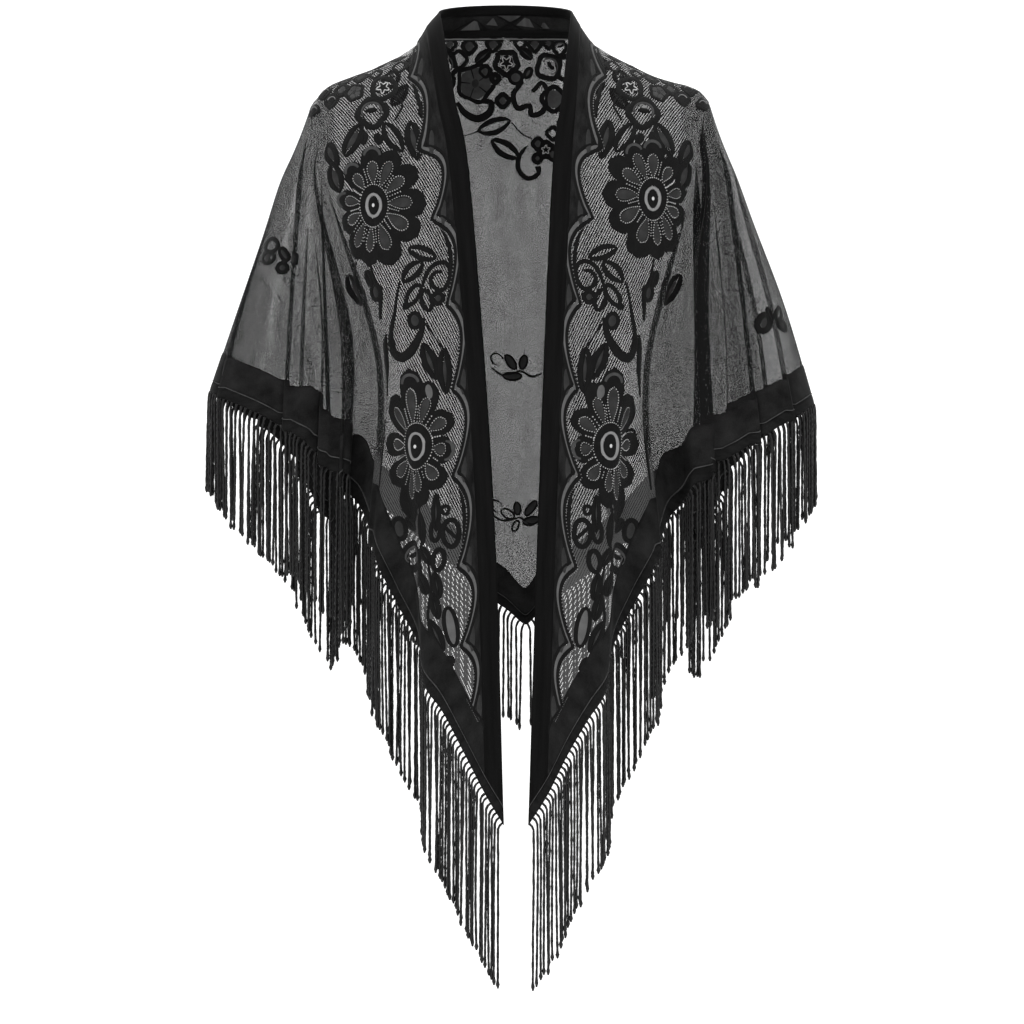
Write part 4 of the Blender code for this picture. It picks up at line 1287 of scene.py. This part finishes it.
frontTable = {
    "roses": (
        ((95, 101), 17, 3.3, "eye", 4, 8), ((80, 75), 14.5, 2.9, "star", 3, 30),
        ((61, 49), 8.6, 1.9, "open"), ((140, 42), 9, 2.4, "dark"), ((126, 37), 9, 2.6, "grey"),
        ((112, 56), 11, 2.0, "lines", 5, 20), ((146, 16), 9, 2.4, "dark"), ((104, 30), 9, 2.2, "half"),
        ((88, 40), 8, 2.0, "open"), ((164, 30), 8, 2.2, "dark"), ((122, 14), 9, 2.2, "lines", 5),
        ((84, 12), 8, 2.0, "half", 4, 40), ((64, 20), 8, 2.0, "half", 4, 10),
        ((52, 315), 7.5, 2.4, "half"), ((86, 310), 3.8, 1.9, "open", 3),
        ((119, 546), 16, 3.9, "eye", 3, 25),
    ),
    "ovals": (
        ((77, 303), (7.4, 13.5), -32, 2.2, "open"), ((64, 313), (7.2, 12.5), 15, 2.2, "open"),
        ((78, 328), (8.0, 9.5), 10, 2.2, "half"), ((72, 538), (6.8, 12.6), -4, 2.3, "open"),
        ((60, 522), (5.2, 6.0), 0, 1.8, "open"), ((55, 547), (11, 16), 0, 2.6, "bar"),
        ((138, 508), (9.5, 13), 8, 2.8, "half"), ((70, 568), (8.2, 13), -8, 2.6, "open"),
        ((59, 638), (8.5, 21), 10, 2.6, "pale"), ((69, 402), (8.2, 10.5), 10, 2.4, "pale"),
        ((124, 274), (7.5, 10), 10, 2.6, "half"),
    ),
    "leaves": (
        ((120, 119), 37, 16, -29, 2.7, half), ((77, 141), 35, 17, 32, 2.5, None),
        ((57, 152), 41, 16, 12, 2.9, half), ((150, 112), 33, 16, 34, 2.8, half),
        ((150, 143), 30, 16, 18, 2.6, half), ((92, 136), 12, 8, 20, 2.2, dense),
        ((107, 126), 14, 7, -8, 2.0, dense), ((64, 266), 31, 14, 69, 2.4, None),
        ((76, 280), 29, 15, -44, 2.4, None), ((66, 373), 39, 14, 21, 2.7, half),
        ((51, 388), 46, 14, 3, 2.8, half), ((131, 257), 19, 9, 27, 2.6, dense),
        ((203, 233), 34, 13, 27, 2.5, half), ((117, 512), 20, 10, 52, 2.8, dense),
        ((93, 581), 26, 11, 28, 2.8, dense), ((73, 592), 27, 10, 11, 2.4, half),
        ((76, 611), 27, 10, 14, 2.5, half), ((76, 640), 34, 12, 25, 2.6, half),
        ((65, 673), 23, 10, 26, 2.7, dense), ((70, 521), 38, 9, 0, 2.0, half),
        ((90, 527), 34, 8, 8, 1.8, None), ((104, 570), 24, 10, -20, 2.4, half),
        ((86, 556), 22, 9, 30, 2.2, half),
    ),
    "curves": (
        ((1.4, 2.2, 2.4, 2.4, 2.4, 2.3, 2.2, 2.2, 2.1, 2.0, 1.6),
         ((68, 300), (61, 286), (51, 281), (40, 287), (34, 299), (37, 308), (46, 310), (56, 302),
          (58, 293), (52, 289), (44, 293))),
        ((1.2, 3.4, 4.8, 5.0, 4.0, 3.2, 1.8),
         ((68, 329), (73, 343), (85, 354), (98, 353), (109, 341), (111, 328), (108, 319))),
        ((0.8, 0.8, 0.8), ((67, 335), (58, 353), (51, 366))),
        ((1.0, 1.3, 1.6, 2.4), ((90, 283), (96, 295), (100, 307), (108, 320))),
        ((1.2, 3.2, 3.4, 1.8, 1.0), ((118, 318), (124, 328), (129, 342), (134, 352), (140, 366))),
        ((1.2, 1.6, 1.6, 1.2), ((150, 228), (165, 233), (177, 248), (190, 268))),
        ((1.0, 1.8, 3.0, 1.4), ((126, 240), (124, 262), (118, 280), (124, 300))),
        ((1.0, 1.2, 1.0), ((70, 92), (62, 110), (72, 124))),
        ((0.9, 1.4, 1.2, 0.9), ((92, 505), (88, 530), (96, 556), (92, 578))),
        ((0.9, 1.5, 1.5, 1.0), ((84, 560), (80, 590), (86, 620), (72, 652))),
        ((1.6, 2.6, 2.8, 2.6, 1.6), ((172, 3), (148, 2), (122, 2), (96, 2), (66, 2))),
        ((1.1, 1.3, 1.0), ((150, 384), (158, 420), (164, 452))),
    ),
}
# The sprig on each wing crosses folds, so each of its ovals lies on the cloth by itself
wingOvals = {
    "left": (
        ((313, 159), (8.5, 9.5), -38, 2.4, "open"), ((326, 172), (8.6, 7.4), 20, 2.4, "half"),
        ((308, 177), (5.8, 9.0), 32, 2.2, "half"), ((293, 185), (6.0, 8.0), 12, 2.2, "half"),
        ((321, 191), (7.4, 7.0), 0, 2.4, "half"),
    ),
    "right": (
        ((359, 247), (9.6, 11.5), 20, 3.6, "half"), ((364, 234), (3.6, 8.0), -22, 1.9, "half"),
        ((391, 224), (6.2, 9.0), 14, 2.6, "open"), ((399, 236), (8.0, 6.5), 24, 2.6, "half"),
    ),
}
for side, cloth in fronts.items():
    work = Work(cloth, -1 if side == "left" else 1)
    borderWork(work)
    for flower in flowerTable:
        flowerWork(work, flower, side)
    drawAll(work, frontTable)
    for oval in wingOvals[side]:
        ovalWork(work, *oval)
    work.pile.make("flowers." + side, workLooks)
print("fronts worked")

backTable = {
    "roses": (
        ((2, 34), 14, 2.9, "star", 5, 180), ((46, 42), 14.5, 2.7, "eye", 4, 60),
        ((-3, 74), 8.5, 2.6, "grey"), ((-31, 58), 20, 2.2, "lines", 5, 20), ((-20, 44), 7.5, 2.2, "grey"),
        ((-10, 51), 6.5, 2.9, "grey"), ((50, 78), 14, 2.6, "grey"), ((-11, 12), 8.5, 2.2, "grey", 4, 10),
        ((17, 11), 7, 2.0, "open"), ((32, 13), 8, 2.2, "grey"), ((-48, 34), 10, 2.2, "open"),
        ((-36, 16), 8.5, 2.2, "grey"), ((47, 12), 6.5, 2.0, "grey"), ((60, 20), 8.5, 2.2, "eye"),
        ((-58, 14), 8, 2.2, "grey"), ((32, 121), 7.5, 2.2, "grey"), ((40, 129), 10, 2.4, "star", 5),
        ((31, 136), 6.5, 2.3, "grey"), ((48, 114), 8, 2.2, "open"), ((47, 136), 7.5, 2.2, "grey"),
        ((-66, 44), 15, 2.6, "eye", 5, 40), ((70, 48), 15, 2.6, "eye", 5, 80),
        ((-92, 46), 14, 2.4, "star", 5), ((96, 46), 14, 2.4, "star", 5), ((-120, 44), 13, 2.4, "grey"),
        ((124, 44), 13, 2.4, "grey"), ((-148, 48), 11, 2.2, "eye"), ((150, 48), 11, 2.2, "eye"),
        ((-76, 76), 12, 2.3, "lines", 5), ((80, 78), 12, 2.3, "lines", 5), ((-104, 78), 11, 2.2, "grey"),
        ((110, 78), 11, 2.2, "grey"),
    ),
    "ovals": (
        ((11, 50), (8.5, 8.0), 0, 2.0, "grey"), ((24, 46), (5.0, 7.0), 30, 2.0, "grey"),
        ((-60, 64), (7, 11), 20, 2.2, "grey"),
    ),
    "leaves": (
        ((-13, 101), 36, 16, 71, 2.3, None), ((-2, 124), 34, 16, -57, 2.6, None),
        ((-22, 28), 20, 10, 50, 2.2, grey), ((22, 24), 18, 9, -50, 2.2, grey),
        ((-64, 100), 32, 15, -60, 2.4, grey), ((66, 104), 30, 15, 50, 2.4, grey),
        ((-92, 104), 28, 13, 30, 2.3, None), ((98, 106), 28, 13, -30, 2.3, None),
        ((-132, 78), 26, 13, 40, 2.3, grey), ((138, 80), 26, 13, -40, 2.3, grey),
    ),
    "curves": (
        ((1.8, 3.4, 4.0, 3.8, 3.2, 2.2),
         ((-51, 82), (-44, 91), (-31, 95), (-18, 88), (-15, 77), (-25, 75))),
        ((2.2, 2.8, 2.8, 2.6, 2.8, 3.0, 2.8, 2.4, 2.2),
         ((18, 54), (8, 68), (12, 82), (24, 80), (26, 90), (38, 88), (44, 72), (38, 58), (28, 66))),
        ((0.5, 0.6, 0.5), ((-52, 121), (-40, 114), (-29, 108))),
        ((0.6, 0.7, 0.6), ((5, 96), (15, 108), (26, 115))),
        ((1.2, 2.4, 2.6, 2.5, 2.4, 3.2),
         ((20, 122), (12, 132), (11, 145), (20, 155), (31, 152), (31, 144))),
        ((1.6, 2.4, 1.6), ((-62, 6), (-30, 4), (0, 8))),
        ((1.6, 2.4, 1.6), ((6, 6), (36, 4), (66, 8))),
    ),
    "sprigs": (
        ((3, 352), "upper", 0, True), ((-3, 503), "lower", 4, True), ((-161, 179), "wing", 10, False),
        ((165, 178), "wing", -10, False), ((-122, 440), "wing", 0, False),
        ((113, 448), "wing", 10, False),
    ),
}
work = Work(back, 1)
drawAll(work, backTable)
for away in (-1, 1):
    # The light stitched line under the neck band
    work.stroke(pair(away * np.linspace(1, 84, 30), 2.4), 0.7, ringed)
work.pile.make("flowers.back", workLooks)
print("back worked")

# Floor and backdrop in one sweep, far enough back for views from behind, then lights and camera
stage = {"wide": 9.0, "floor": -1.02, "front": -8.0, "behind": 7.4, "bend": 0.9, "tall": 5.0}
sweep = [(stage["front"], stage["floor"]), (stage["behind"], stage["floor"])]
for turn in np.radians(np.linspace(10, 90, 9)):
    sweep.append((stage["behind"] + stage["bend"] * np.sin(turn),
                  stage["floor"] + stage["bend"] * (1 - np.cos(turn))))
sweep.append((stage["behind"] + stage["bend"], stage["tall"]))
vertices = [(side * stage["wide"], y, z) for y, z in sweep for side in (-1, 1)]
faces = [(2 * n, 2 * n + 1, 2 * n + 3, 2 * n + 2) for n in range(len(sweep) - 1)]
mesh = bpy.data.meshes.new("backdrop")
mesh.from_pydata(vertices, [], faces)
mesh.shade_smooth()
paper = Nodes("paper")
paper.put(paper.shader, "Emission Color", (1.0, 1.0, 1.0, 1.0))
paper.put(paper.shader, "Emission Strength", 0.45)
shade = paper.noise(paper.node("TexCoord").outputs["Object"], 3.0)
mesh.materials.append(paper.finish(paper.range(shade, 0.3, 0.7, 0.86, 0.9), 0.9, 0.1))
putInScene("backdrop", mesh)

world = bpy.data.worlds.new("room")
world.use_nodes = True
glow = world.node_tree.nodes["Background"].inputs
glow["Color"].default_value = (1.0, 1.0, 1.0, 1.0)
glow["Strength"].default_value = 0.75
bpy.context.scene.world = world
# Each lamp: place, power and size
lamps = {
    "key": ((-1.9, -2.6, 1.7), 62, 1.6),
    "fill": ((2.3, -2.4, 0.6), 32, 1.8),
    "top": ((0.2, 0.4, 2.4), 30, 2.0),
}
lampsAimAt = Vector((0, 0, -0.3))
for name, (place, power, size) in lamps.items():
    lamp = bpy.data.lights.new(name, "AREA")
    lamp.energy = power
    lamp.size = size
    thing = putInScene(name, lamp)
    thing.location = place
    thing.rotation_euler = (lampsAimAt - Vector(place)).to_track_quat("-Z", "Y").to_euler()

camera = bpy.data.cameras.new("camera")
camera.sensor_width = 36.0
camera.lens = 5940 / 1024 * camera.sensor_width
camera.clip_end = 60.0
eye = putInScene("camera", camera)
eye.location = (-0.001, -6.0, -0.412)
eye.rotation_euler = (np.pi / 2, 0.0, 0.0)
bpy.context.scene.camera = eye
bpy.context.scene.view_settings.view_transform = "Standard"
print("stage set")
